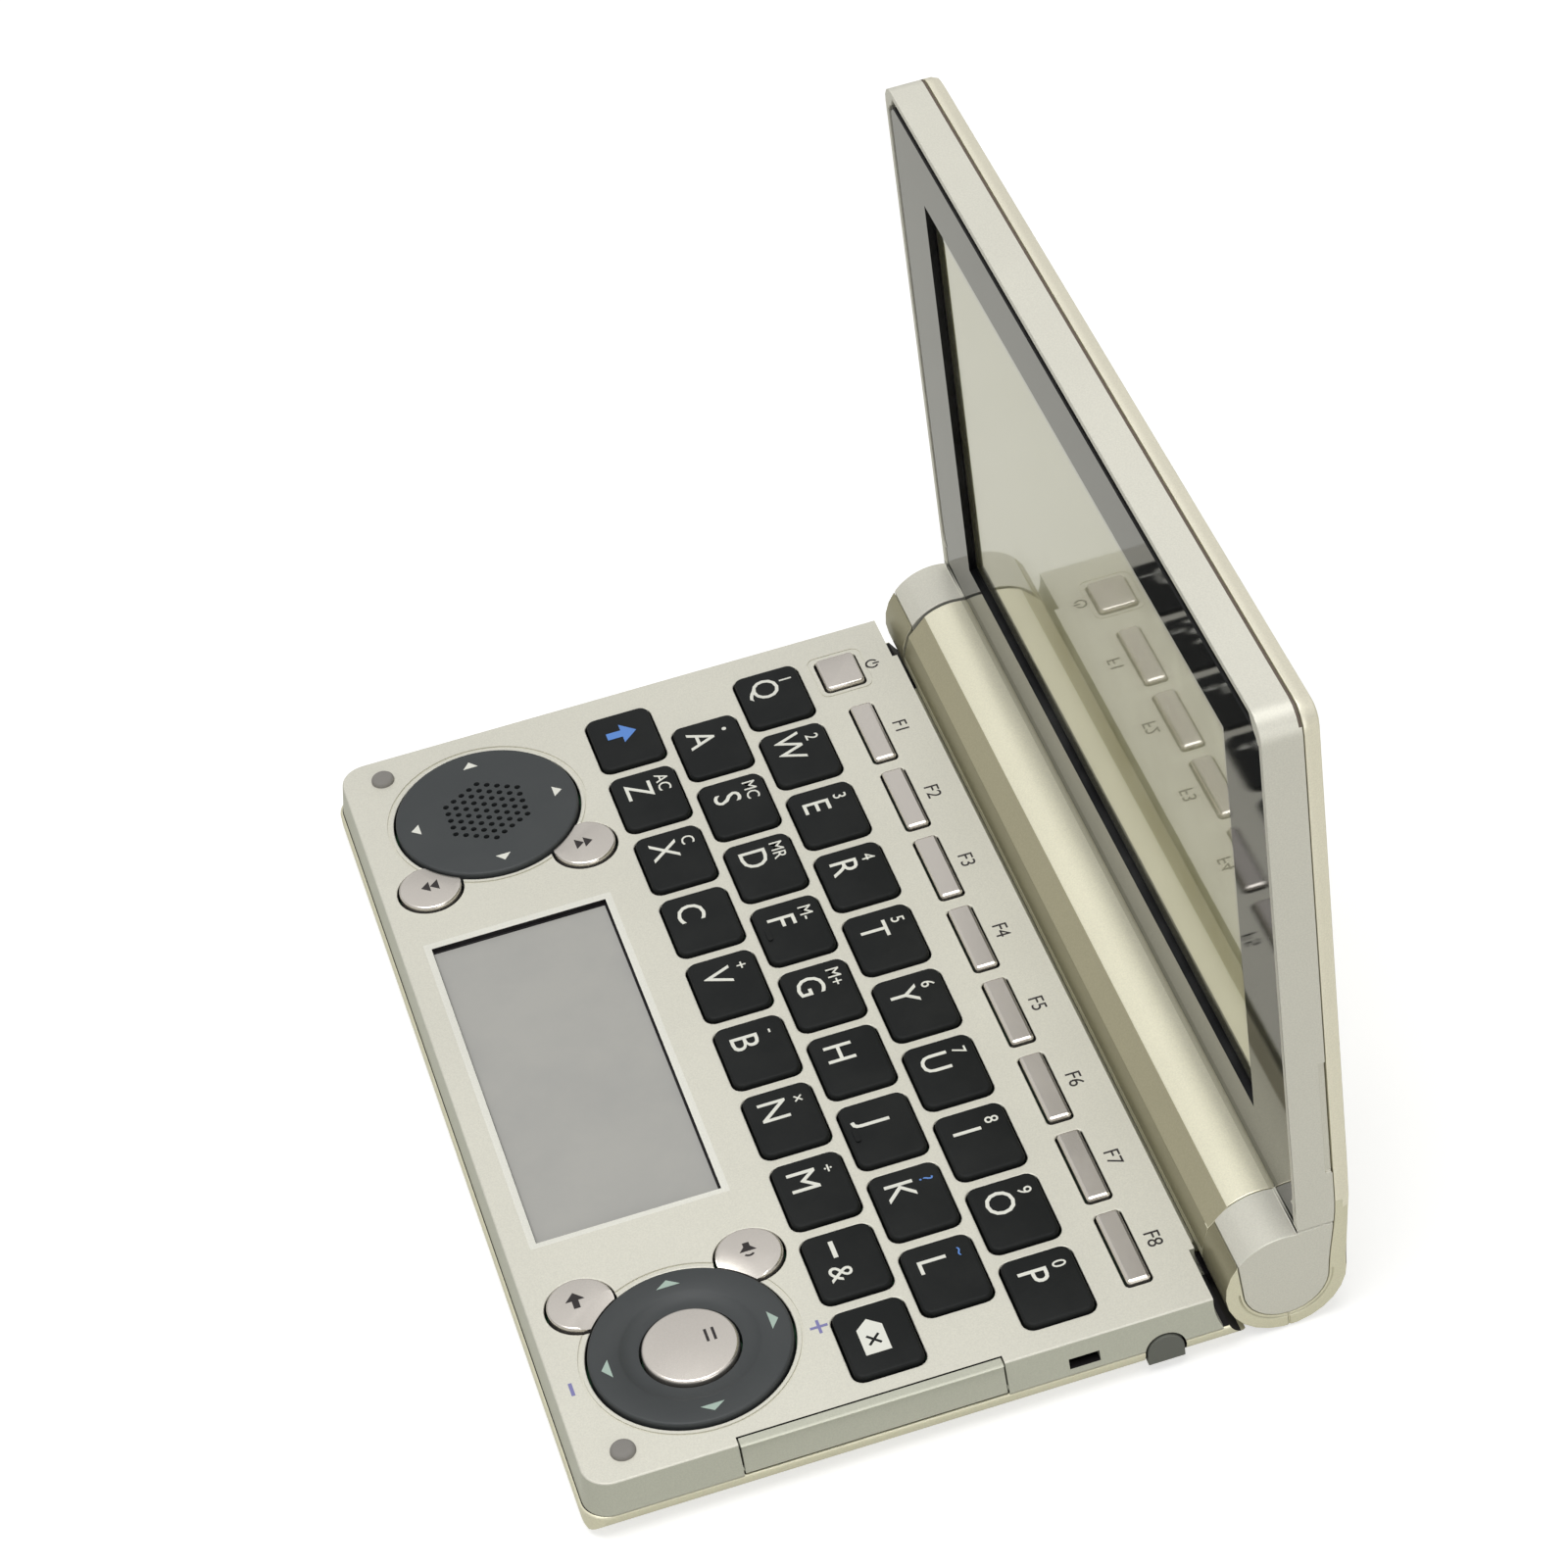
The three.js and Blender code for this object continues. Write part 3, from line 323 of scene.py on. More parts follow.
# The display's dark inactive border, darkened further as painted shade and painted reflection of the window's walls
crystal_border_and_shade = material("crystal_border_and_shade", (84, 82, 58), **CRYSTAL, Dust=shade(80, 78, 56))
touch_film = material("touch_film", (176, 175, 170), MOULDED, bump=0.15, specular=0.3, Roughness=0.34,
                      Dust=shade(160, 160, 158), Dustiness=0.4)
stylus_plastic = material("stylus_plastic", (104, 106, 98), MOULDED, bump=0.3, specular=0.3, Roughness=0.45)
board_green = material("board_resist", (47, 107, 69), MOULDED, bump=0.4, Roughness=0.4)
cell_print = material("cell_sleeve", (150, 152, 158), PAINTED, bump=0.1, metallic=0.6, Roughness=0.3)
turned_steel = material("turned_steel", (190, 190, 186), PAINTED, bump=0.3, metallic=1.0, Roughness=0.28)
screw_steel = material("screw_steel", (120, 120, 116), PAINTED, bump=0.2, metallic=1.0, Roughness=0.35)


# Modelling

def alone(obj):
    if bpy.context.mode != "OBJECT":
        bpy.ops.object.mode_set(mode="OBJECT")
    bpy.ops.object.select_all(action="DESELECT")
    obj.select_set(True)
    bpy.context.view_layer.objects.active = obj
    return obj


def edited(obj):
    alone(obj)
    bpy.ops.object.mode_set(mode="EDIT")


def done(obj):
    """Leave edit mode."""
    bpy.ops.object.mode_set(mode="OBJECT")
    return obj


def added(name, data):
    obj = bpy.data.objects.new(name, data)
    bpy.context.scene.collection.objects.link(obj)
    return obj


def named(name):
    obj = bpy.context.object
    obj.name = name
    obj.data.name = name
    return obj


def primitive(name, add, **shape):
    """One of Blender's primitives, with its place, turn and size put into the mesh."""
    bpy.ops.object.select_all(action="DESELECT")
    add(**shape)
    bpy.ops.object.transform_apply(location=True, rotation=True, scale=True)
    return named(name)


def block(name, x0, x1, y0, y1, z0, z1):
    """A cube between six planes."""
    centre = ((x0 + x1) / 2, (y0 + y1) / 2, (z0 + z1) / 2)
    return primitive(name, bpy.ops.mesh.primitive_cube_add, size=1, location=centre,
                     scale=(x1 - x0, y1 - y0, z1 - z0))


def drum(name, x, y, z0, z1, radius, sides=96):
    """A cylinder that stands on z0."""
    return primitive(name, bpy.ops.mesh.primitive_cylinder_add, vertices=sides, radius=radius, depth=z1 - z0,
                     location=(x, y, (z0 + z1) / 2))


def cone(name, x, y, z0, z1, low_radius, high_radius):
    """A cone that stands on z0 and widens upwards."""
    return primitive(name, bpy.ops.mesh.primitive_cone_add, vertices=128, radius1=low_radius,
                     radius2=high_radius, depth=z1 - z0, location=(x, y, (z0 + z1) / 2))


def roller(name, x0, x1, y, z, radius, sides=96):
    """A cylinder that lies along X."""
    return primitive(name, bpy.ops.mesh.primitive_cylinder_add, vertices=sides, radius=radius, depth=x1 - x0,
                     location=((x0 + x1) / 2, y, z), rotation=(0, math.pi / 2, 0))


def picked(obj, kind, test):
    """Edit mode with only the edges or the faces selected that pass the test."""
    edited(obj)
    bpy.ops.mesh.select_mode(type=kind)
    bpy.ops.mesh.select_all(action="DESELECT")
    mesh = bmesh.from_edit_mesh(obj.data)
    for element in mesh.edges if kind == "EDGE" else mesh.faces:
        if test(element):
            element.select_set(True)
    mesh.select_flush_mode()
    bmesh.update_edit_mesh(obj.data)


def rounded(obj, test, radius, segments):
    """Bevel the edges whose two ends pass the test."""
    picked(obj, "EDGE", lambda edge: test(edge.verts[0].co, edge.verts[1].co))
    bpy.ops.mesh.bevel(offset=radius, offset_type="OFFSET", segments=segments, profile=0.5, affect="EDGES")
    return done(obj)


def upright_edge(a, b):
    """A test for edges that stand upright."""
    return abs(a.z - b.z) > 0.3 and (a.xy - b.xy).length < NEAR


def level_at(z):
    """A test for edges that lie at a height."""
    return lambda a, b: abs(a.z - z) < NEAR and abs(b.z - z) < NEAR


def smooth(obj, degrees=32, weigh=False):
    """Smooth shading up to an angle; weighted normals keep large faces flat."""
    alone(obj)
    bpy.ops.object.shade_smooth_by_angle(angle=math.radians(degrees))
    if weigh:
        weights = obj.modifiers.new("weights", "WEIGHTED_NORMAL")
        weights.keep_sharp = True
        weights.weight = 100
        bpy.ops.object.modifier_apply(modifier=weights.name)
    return obj


def carve(obj, tools, operation="DIFFERENCE"):
    """Cut one piece with several tools, which are used up."""
    alone(obj)
    bin_of_tools = bpy.data.collections.new("tools")
    for tool in tools:
        bin_of_tools.objects.link(tool)
    cut = obj.modifiers.new("cut", "BOOLEAN")
    cut.operation = operation
    cut.solver = "EXACT"
    if len(tools) == 1:
        cut.object = tools[0]
    else:
        cut.operand_type = "COLLECTION"
        cut.collection = bin_of_tools
    bpy.ops.object.modifier_apply(modifier=cut.name)
    for tool in tools:
        bpy.data.objects.remove(tool)
    bpy.data.collections.remove(bin_of_tools)
    return obj


def painted(obj, *coats):
    """Give the piece its materials; the first is the one its faces have."""
    obj.data.materials.clear()
    for coat in coats:
        obj.data.materials.append(coat)
    return obj


def coat_faces(obj, index, test):
    for face in obj.data.polygons:
        if test(face.center, face.normal):
            face.material_index = index
    return obj


def one_piece(obj, extras):
    """Join small pieces, such as printed legends, into the piece that carries them."""
    alone(obj)
    for extra in extras:
        extra.select_set(True)
    if extras:
        bpy.ops.object.join()
    return bpy.context.object


def settle(obj, body, slot, *nodes):
    """Bring the finished piece from millimetres to metres and hand it to its body."""
    alone(obj)
    obj.scale = (MM, MM, MM)
    bpy.ops.object.transform_apply(location=True, rotation=True, scale=True)
    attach(obj, body)
    if nodes:
        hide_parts(*nodes)
    return obj


def twin(obj, name, x, y):
    """A copy with its own mesh, moved to its place."""
    copy = obj.copy()
    copy.data = obj.data.copy()
    copy.name = name
    copy.data.name = name
    copy.data.transform(Matrix.Translation((x, y, 0)))
    bpy.context.scene.collection.objects.link(copy)
    return copy


def rounded_block(name, x, y, width, depth, z0, z1, corner, steps=5):
    """A block about a place, with its upright edges rounded."""
    body = block(name, x - width / 2, x + width / 2, y - depth / 2, y + depth / 2, z0, z1)
    return rounded(body, upright_edge, corner, steps)


EASED_RIM = ((LIP * 0.62, LIP * 0.3), (LIP * 0.38, LIP * 0.7), (0.5, 0.0))


def flared(tool, x, y, width, depth, steps=EASED_RIM):
    """Widen a cutter upwards from its upper face, in steps of height and width."""
    picked(tool, "FACE", lambda face: face.normal.z > 0.9)
    for rise, grow in steps:
        bpy.ops.mesh.extrude_region_move(TRANSFORM_OT_translate={"value": (0, 0, rise)})
        share = (1 + 2 * grow / width, 1 + 2 * grow / depth, 1)
        bpy.ops.transform.resize(value=share, center_override=(x, y, 0))
    return done(tool)


def cap_hole(x, y, size, corner):
    """A cutter for the hole about a rectangular cap."""
    width, depth = size[0] + CAP_GAP, size[1] + CAP_GAP
    tool = rounded_block("hole", x, y, width, depth, UNDER - 1, TOP - LIP, corner)
    return flared(tool, x, y, width, depth)


def round_hole(x, y, cap_radius, sides):
    """A cutter for the hole about a round cap."""
    radius = cap_radius + PAD_GAP
    return flared(drum("hole", x, y, UNDER - 1, TOP - LIP, radius, sides), x, y, 2 * radius, 2 * radius)


def pad_groove(x):
    """A cutter for the fine round groove in the top face about a pad."""
    ring = drum("ring", x, PAD_Y, TOP - 0.22, TOP + 1, PAD_R + 1.3)
    return carve(ring, [drum("core", x, PAD_Y, TOP - 1, TOP + 2, PAD_R + 0.95)])


def power_groove():
    """The same about the power key."""
    width, depth = POWER_SIZE[0] + 2.0, POWER_SIZE[1] + 2.0
    line, corner = 0.22, 1.2
    ring = rounded_block("ring", *POWER_PLACE, width + 2 * line, depth + 2 * line, TOP - 0.14, TOP + 1,
                         corner + line)
    return carve(ring, [rounded_block("core", *POWER_PLACE, width, depth, TOP - 1, TOP + 2, corner)])


def from_node(node, name):
    """A CAD node's own shape, merged and cleaned, in millimetres, to be eased and finished."""
    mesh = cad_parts[node].data.copy()
    mesh.name = name
    mesh.transform(Matrix.Scale(1 / MM, 4))
    obj = added(name, mesh)
    edited(obj)
    bpy.ops.mesh.select_all(action="SELECT")
    bpy.ops.mesh.remove_doubles(threshold=0.0005)
    bpy.ops.mesh.dissolve_limited(angle_limit=math.radians(0.5))
    return done(obj)


def eased(obj, width, degrees=38, segments=2):
    """A small rounding along every edge sharper than an angle."""
    alone(obj)
    ease = obj.modifiers.new("ease", "BEVEL")
    ease.limit_method = "ANGLE"
    ease.angle_limit = math.radians(degrees)
    ease.width = width
    ease.segments = segments
    ease.use_clamp_overlap = False
    ease.miter_outer = "MITER_SHARP"
    bpy.ops.object.modifier_apply(modifier=ease.name)
    return obj


# Legends: letters, digits and plain marks

def legend(words, x, y, z, size, coat, turn=0.0, thin=0.0):
    """A word or sign as a thin closed solid, centred on a point and lying on the face at height z."""
    bpy.ops.object.select_all(action="DESELECT")
    bpy.ops.object.text_add(location=(0, 0, 0))
    text = bpy.context.object
    text.data.body = words
    text.data.size = size
    text.data.align_x = "CENTER"
    text.data.align_y = "CENTER"
    text.data.extrude = RAISED
    text.data.offset = thin
    text.data.resolution_u = 3
    bpy.ops.object.convert(target="MESH")
    text = bpy.context.object
    spans = [[vertex.co[i] for vertex in text.data.vertices] for i in (0, 1)]
    text.data.transform(Matrix.Translation((*[-(min(span) + max(span)) / 2 for span in spans], 0)))
    text.data.transform(Matrix.Translation((x, y, z)) @ Matrix.Rotation(turn, 4, "Z"))
    return painted(text, coat)


def sign(points, x, y, z, coat, turn=0.0):
    """A flat outline drawn point by point and extruded to a thin closed solid."""
    mesh = bpy.data.meshes.new("sign")
    mesh.from_pydata([(px, py, -RAISED) for px, py in points], [], [list(range(len(points)))])
    obj = added("sign", mesh)
    edited(obj)
    bpy.ops.mesh.select_all(action="SELECT")
    bpy.ops.mesh.extrude_region_move(TRANSFORM_OT_translate={"value": (0, 0, 2 * RAISED)})
    bpy.ops.mesh.select_all(action="SELECT")
    bpy.ops.mesh.normals_make_consistent(inside=False)
    done(obj)
    mesh.transform(Matrix.Translation((x, y, z)) @ Matrix.Rotation(turn, 4, "Z"))
    return painted(obj, coat)


def scaled(points, across, along):
    return [(across * px, along * py) for px, py in points]


def arc(radius, degrees):
    """Points round the origin, their angles counted from the Y axis."""
    return [(radius * math.sin(math.radians(a)), radius * math.cos(math.radians(a))) for a in degrees]


TRIANGLE = [(-1.1, -0.55), (1.1, -0.55), (0, 0.75)]
ARROW = [(-0.45, -1.3), (0.45, -1.3), (0.45, 0.1), (1.3, 0.1), (0, 1.5), (-1.3, 0.1), (-0.45, 0.1)]
BACKSPACE = [(-2.6, 0), (-1.3, 1.5), (2.6, 1.5), (2.6, -1.5), (-1.3, -1.5)]
DASH = [(-1.5, -0.32), (1.5, -0.32), (1.5, 0.32), (-1.5, 0.32)]
HORN = [(-1.4, -0.45), (-0.7, -0.45), (0.1, -1.15), (0.1, 1.15), (-0.7, 0.45), (-1.4, 0.45)]
SOUND = [(px, py) for py, px in arc(0.9, range(-50, 51, 20)) + arc(0.6, range(50, -51, -20))]


# Letter keys

def key_places():
    rows = [("qwertyuiop", 0.0), ("asdfghjkl", 0.497), (["shift", *"zxcvbnm", "symbol", "delete"], 0.0)]
    for row, (names, share) in enumerate(rows):
        for column, name in enumerate(names):
            x = KEY_FIRST[0] + (column + share) * KEY_PITCH[0]
            yield name, x, KEY_FIRST[1] - row * KEY_PITCH[1]


SMALL = dict(zip("qwertyuiop", "1234567890"))
SMALL.update({"z": "AC", "x": "C", "v": "+", "b": "-", "n": "×", "m": "÷", "a": "•",
              "s": "MC", "d": "MR", "f": "M-", "g": "M+"})
BLUE_SMALL = {"k": "?", "l": "~"}


def key_legends(name, x, y):
    z = KEY_TOP
    if name == "shift":
        return [sign(scaled(ARROW, 1.6, 1.6), x - 1.2, y - 0.4, z, blue_print)]
    if name == "symbol":
        return [sign(DASH, x - 2.6, y - 1.0, z, white_print), legend("&", x + 1.8, y - 1.2, z, 4.6, white_print)]
    if name == "delete":
        back = sign(scaled(BACKSPACE, 1.15, 1.15), x - 0.4, y - 0.6, z, white_print)
        return [back, legend("×", x + 0.3, y - 0.6, z + 0.02, 4.4, key_plastic)]
    marks = [legend(name.upper(), x - 1.9, y - 1.1, z, LETTER_SIZE, white_print)]
    if name in SMALL:
        shift = 0.5 * (len(SMALL[name]) - 1)
        marks.append(legend(SMALL[name], x - 2.9 + shift, y + 2.6, z, SMALL_SIZE, white_print, thin=0.01))
    if name in BLUE_SMALL:
        marks.append(legend(BLUE_SMALL[name], x - 2.9, y + 2.7, z, SMALL_SIZE, blue_print))
    return marks


def letter_keys():
    """Rounded caps with a soft upper edge and their legends; two have a ridge that fingers feel."""
    cap = rounded_block("key_cap", 0, 0, *KEY_SIZE, CAP_FOOT, KEY_TOP, 1.4, 6)
    rounded(cap, level_at(KEY_TOP), 0.38, 4)
    smooth(painted(cap, key_plastic), 40)
    for name, x, y in key_places():
        key = twin(cap, f"cap_{name}", x, y)
        extras = key_legends(name, x, y)
        if name in "fj":
            ridge = rounded_block("ridge", x, y - 3.6, 2.6, 0.7, KEY_TOP - 0.1, KEY_TOP + 0.22, 0.3, 3)
            extras.append(painted(smooth(ridge), key_plastic))
        settle(one_piece(key, extras), f"key_{name}", "key_black", f"key_{name}")
    bpy.data.objects.remove(cap)


# Function and power keys

def plated_keys():
    """Plated bars with flat tops and crisp bright chamfers, and a softer power key."""
    bar = rounded_block("function_bar", 0, 0, *FUNCTION_SIZE, CAP_FOOT, KEY_TOP, 0.5, 4)
    rounded(bar, level_at(KEY_TOP), 0.42, 2)
    smooth(painted(bar, plating), 20, weigh=True)
    for i, x in enumerate(FUNCTION_X, 1):
        key = twin(bar, f"function_bar_{i}", x, FUNCTION_Y)
        settle(key, f"function_key_{i}", "plated_button", f"function_key_{i}")
    bpy.data.objects.remove(bar)
    power = rounded_block("power_cap", *POWER_PLACE, *POWER_SIZE, CAP_FOOT, KEY_TOP, 0.6, 4)
    rounded(power, level_at(KEY_TOP), 0.35, 4)
    settle(smooth(painted(power, plating), 40), "power_key", "plated_button", "power_key")


# Pads and round buttons

def disc(name, x, radius, foot, edge):
    body = drum(name, x, PAD_Y, foot, KEY_TOP, radius, 128)
    return rounded(body, level_at(KEY_TOP), edge, 4)


def pad_marks(outline, x, reach, coat):
    """Four marks round a pad, all pointing outwards."""
    return [sign(outline, x + reach * math.sin(-t), PAD_Y + reach * math.cos(t), KEY_TOP, coat, turn=t)
            for t in (0, math.pi / 2, math.pi, 3 * math.pi / 2)]


def grille_tools(x):
    """Drills for a hexagon of sound holes in close rows."""
    pitch = 1.56
    tools = []
    for row in range(-4, 5):
        count = 9 - abs(row)
        for i in range(count):
            hx = x + (i - (count - 1) / 2) * pitch
            hy = PAD_Y + row * pitch * math.sin(math.pi / 3)
            tools.append(drum("hole", hx, hy, 9.0, 11.0, 0.44, 14))
    return tools


def speaker_pad():
    pad = disc("speaker_pad", -PAD_X, PAD_R, PAD_FOOT, 0.4)
    carve(pad, grille_tools(-PAD_X))
    smooth(painted(pad, pad_plastic, shade_dark), 35)
    # Painted shade: the walls of the sound holes dark
    coat_faces(pad, 1, lambda c, n: c.z < TOP and math.hypot(c.x + PAD_X, c.y - PAD_Y) < 7.0)
    settle(one_piece(pad, pad_marks(TRIANGLE, -PAD_X, 10.6, white_print)), "left_pad", "pad_grey", "left_pad")


def cursor_pad():
    """A ring with a shallow dish round the middle button."""
    edge = 0.4
    pad = disc("cursor_ring", PAD_X, PAD_R, PAD_FOOT, edge)
    picked(pad, "FACE", lambda face: face.normal.z > 0.99 and abs(face.calc_center_median().z - KEY_TOP) < NEAR)
    flat = PAD_R - edge
    for radius, drop in ((9.5, 0.0), (9.1, -0.2), (8.5, -0.3), (7.6, -0.16), (6.95, 0.0), (WELL_R, 0.0)):
        bpy.ops.mesh.inset(thickness=flat - radius, depth=0)
        bpy.ops.transform.translate(value=(0, 0, drop))
        flat = radius
    done(pad)
    carve(pad, [drum("well", PAD_X, PAD_Y, *THROUGH, WELL_R)])
    smooth(painted(pad, pad_plastic), 35)
    marks = pad_marks(scaled(TRIANGLE, 1.45, 0.9), PAD_X, 11.2, green_print)
    settle(one_piece(pad, marks), "direction_pad", "pad_grey", "direction_pad")


def middle_button():
    cap = disc("enter_cap", PAD_X, ENTER_R, ENTER_FOOT, 0.45)
    smooth(painted(cap, plating), 35)
    bars = [legend("=", PAD_X - 0.7, PAD_Y + 2.9, KEY_TOP, 4.6, dark_print)]
    settle(one_piece(cap, bars), "enter_button", "plated_button", "enter_button")


def double_arrow(x, y, turn):
    return [sign([(px, py + lift) for px, py in scaled(TRIANGLE, 0.95, 0.95)], x, y, KEY_TOP, dark_print, turn=turn)
            for lift in (-0.75, 0.55)]


def round_buttons():
    """Four round buttons, each bitten by its pad and dished towards it."""
    across, along = ROUND_OFF
    places = [("page_back_button", -1, -along), ("page_forward_button", -1, along),
              ("return_button", 1, -along), ("voice_button", 1, along)]
    for name, side, lift in places:
        pad_x = side * PAD_X
        x = pad_x - side * across
        y = PAD_Y + lift
        cap = drum(name.replace("button", "cap"), x, y, CAP_FOOT, KEY_TOP, ROUND_R, 72)
        rounded(cap, level_at(KEY_TOP), 0.35, 4)
        carve(cap, [drum("bite", pad_x, PAD_Y, *THROUGH, PAD_R + PAD_GAP, 128)])
        carve(cap, [cone("dish", pad_x, PAD_Y, KEY_TOP - 0.45, KEY_TOP + 0.05, PAD_R + 0.3, PAD_R + 2.2)])
        smooth(painted(cap, plating), 35)
        if name.startswith("page"):
            marks = double_arrow(x, y, math.pi if lift < 0 else 0.0)
        elif name.startswith("voice"):
            marks = [sign(outline, x - 0.4 + shift, y, KEY_TOP, dark_print)
                     for outline, shift in ((HORN, 0.0), (SOUND, 0.2))]
        else:
            marks = [sign(ARROW, x - 0.6, y - 0.5, KEY_TOP, dark_print, turn=math.pi / 2)]
        settle(one_piece(cap, marks), name, "plated_button", name)


# Base cases

def base_body(name, wide, front, rear, z0, z1):
    """A block as wide as a case, with round corners in front."""
    body = block(name, -wide, wide, front, rear, z0, z1)
    return rounded(body, front_corner, CORNER, 10)


def front_corner(a, b):
    return upright_edge(a, b) and a.y < 0


def base_cavity(z0, z1, test, steps):
    """The room between the walls of a case."""
    cavity = block("cavity", SKIN - WIDE, WIDE - SKIN, FRONT + FRONT_SKIN, REAR - SKIN, z0, z1)
    return rounded(cavity, test, CAVITY_CORNER, steps)


def inside_walls(centre):
    """Whether a place lies further inside the outline of the base than its walls' outer skin."""
    margin = 1.3
    across = abs(centre.x)
    if across > WIDE - CORNER and centre.y < FRONT + CORNER:
        return math.hypot(across - WIDE + CORNER, centre.y - FRONT - CORNER) < CORNER - margin
    return across < WIDE - margin and FRONT + margin < centre.y < REAR - margin


def knuckle_tools():
    """Room for the lid's two knuckles beside the barrel."""
    tools = []
    for side in SIDES:
        x0, x1 = sorted((side * (BARREL_END + 0.4), side * (WIDE + 2)))
        tools.append(roller("room", x0, x1, *HINGE, BARREL + 1.0))
        tools.append(block("notch", x0, x1, REAR - 0.6, HINGE[0], SEAM, TOP + 2))
    return tools


def touch_tool():
    """The window of the small display: upright walls, then a shallow bevel out to the top face."""
    x0, x1, y0, y1 = TOUCH
    wall, bevel, rise = TOUCH_RIM
    tool = block("window", *TOUCH, THROUGH[0], TOP - wall)
    return flared(tool, (x0 + x1) / 2, (y0 + y1) / 2, x1 - x0, y1 - y0, [(rise, bevel)])


def touch_wall_shade():
    """A thin dark strip on the small display, where its window's walls stand on it: painted shade along their foot.
    """
    x0, x1, y0, y1 = TOUCH
    seal = block("touch_wall_shade", x0 + NEAR, x1 - NEAR, y0 + NEAR, y1 - NEAR, TOUCH_Z, TOUCH_Z + 0.12)
    carve(seal, [block("core", x0 + 0.35, x1 - 0.1, y0 + 0.1, y1 - 0.3, TOUCH_Z - 1, TOUCH_Z + 1)])
    settle(smooth(painted(seal, shade_dark), 20), "base", "silver_case")


def stylus_tool():
    """The arched outline of the stylus head with its play, run through the right wall."""
    y, half, low, high = STYLUS
    tool = block("arch", WIDE - STYLUS_DEPTH, WIDE + 2, y - half - PLAY, y + half + PLAY, low - PLAY, high + PLAY)
    return rounded(tool, lambda a, b: abs(a.x - b.x) > 0.3 and min(a.z, b.z) > 4, STYLUS_ARCH + PLAY, 8)


def bottom_line():
    """A fine groove round the foot of the silver walls, darkened with painted shade."""
    line = block("line", -FAR, FAR, -60, 36, SEAM - 1, SEAM + 0.13)
    carve(line, [rounded_block("core", 0, -8, 2 * SILVER_SIDE - 0.5, 86.6, SEAM - 2, SEAM + 1, CORNER - 0.2)])
    return painted(line, shade_dark)


def in_the_dark(centre, normal):
    """The faces that take painted shade: inside the upper case, and the walls of its holes below their eased rims.
    """
    wall = abs(normal.z) < 0.3 and centre.z < TOP - 0.14
    return inside_walls(centre) and (centre.z < UNDER + NEAR or wall)


def upper_case():
    """The silver upper case: leaning walls, crisp edges, cavity, and every hole with its eased rim."""
    case = base_body("upper_case", SILVER_SIDE, SILVER_FRONT, SILVER_REAR, SEAM, TOP)
    picked(case, "FACE", lambda face: face.normal.z > 0.9)
    bpy.ops.transform.resize(value=(*LEAN, 1), center_override=(0, SILVER_REAR, 0))
    rounded(done(case), lambda a, b: level_at(TOP)(a, b) and min(a.y, b.y) < REAR - 0.1, 0.18, 3)
    across, along = ROUND_OFF
    tools = [base_cavity(SEAM - 2, UNDER, front_corner, 6), touch_tool()]
    tools += [cap_hole(x, y, KEY_SIZE, 1.7) for _, x, y in key_places()]
    tools += [cap_hole(x, FUNCTION_Y, FUNCTION_SIZE, 0.8) for x in FUNCTION_X]
    tools += [cap_hole(*POWER_PLACE, POWER_SIZE, 0.9)]
    tools += [round_hole(side * PAD_X, PAD_Y, PAD_R, 96) for side in SIDES]
    tools += [round_hole(side * (PAD_X - across), PAD_Y + lift, ROUND_R, 64)
              for side in SIDES for lift in (-along, along)]
    tools += [roller("barrel_room", -64.3, 64.3, *HINGE, BARREL_ROOM, 128)]
    tools += [roller("knuckle_room", *sorted((side * 64.2, side * (WIDE + 2))), *HINGE, KNUCKLE_ROOM, 128)
              for side in SIDES]
    tools += [block("neck", -NECK_SIDE, NECK_SIDE, NECK_FRONT, 37, 2, NECK_TOP)]
    tools += [block("port", WIDE - 2.0, WIDE + 2, *PORT, SEAM - 2, TOP + 2)]
    strap = block("strap", WIDE - 3.4, WIDE + 2, *STRAP)
    tools += [strap, stylus_tool(), *[pad_groove(side * PAD_X) for side in SIDES], power_groove()]
    for tool in tools:
        painted(tool, silver)
    # Painted shade: the strap slot's walls dark
    painted(strap, shade_dark)
    painted(case, silver, shade_dark, silver_side_shade, silver_lip_highlight)
    carve(case, [*tools, bottom_line()])
    # Painted shade: the upright outer walls take the darker silver
    coat_faces(case, 2, lambda c, n: abs(n.z) < 0.3 and not inside_walls(c) and c.z > SEAM + 0.2)
    coat_faces(case, 1, in_the_dark)
    x0, x1, y0, y1 = TOUCH
    # Painted highlight: the bevel round the small display takes the lighter silver
    coat_faces(case, 3, lambda c, n: 0.3 < n.z < 0.995 and x0 - 2 < c.x < x1 + 2 and y0 - 2 < c.y < y1 + 2)
    return smooth(case, 30, weigh=True)


def print_on_case():
    """Function numbers, the power sign, and plus and minus by the cursor ring."""
    z = TOP
    marks = [legend(f"F{i}", x, 29.0, z, 3.0, dark_print) for i, x in enumerate(FUNCTION_X, 1)]
    ring = arc(1.0, range(30, 331, 20)) + arc(0.72, range(330, 29, -20))
    stroke = [(-0.14, 0.1), (0.14, 0.1), (0.14, 1.1), (-0.14, 1.1)]
    minus = [(-1.1, -0.25), (1.1, -0.25), (1.1, 0.25), (-1.1, 0.25)]
    marks += [sign(outline, POWER_PLACE[0], 29.2, z, dark_print) for outline in (ring, stroke)]
    marks.append(legend("+", PAD_X + 3.0, PAD_Y + 16.4, z, 5.0, violet_print))
    marks.append(sign(minus, PAD_X + 1.0, PAD_Y - 16.2, z, violet_print))
    return marks


SCREWS = [(x, y) for x in (-56, 0, 56) for y in (-41, 21)]


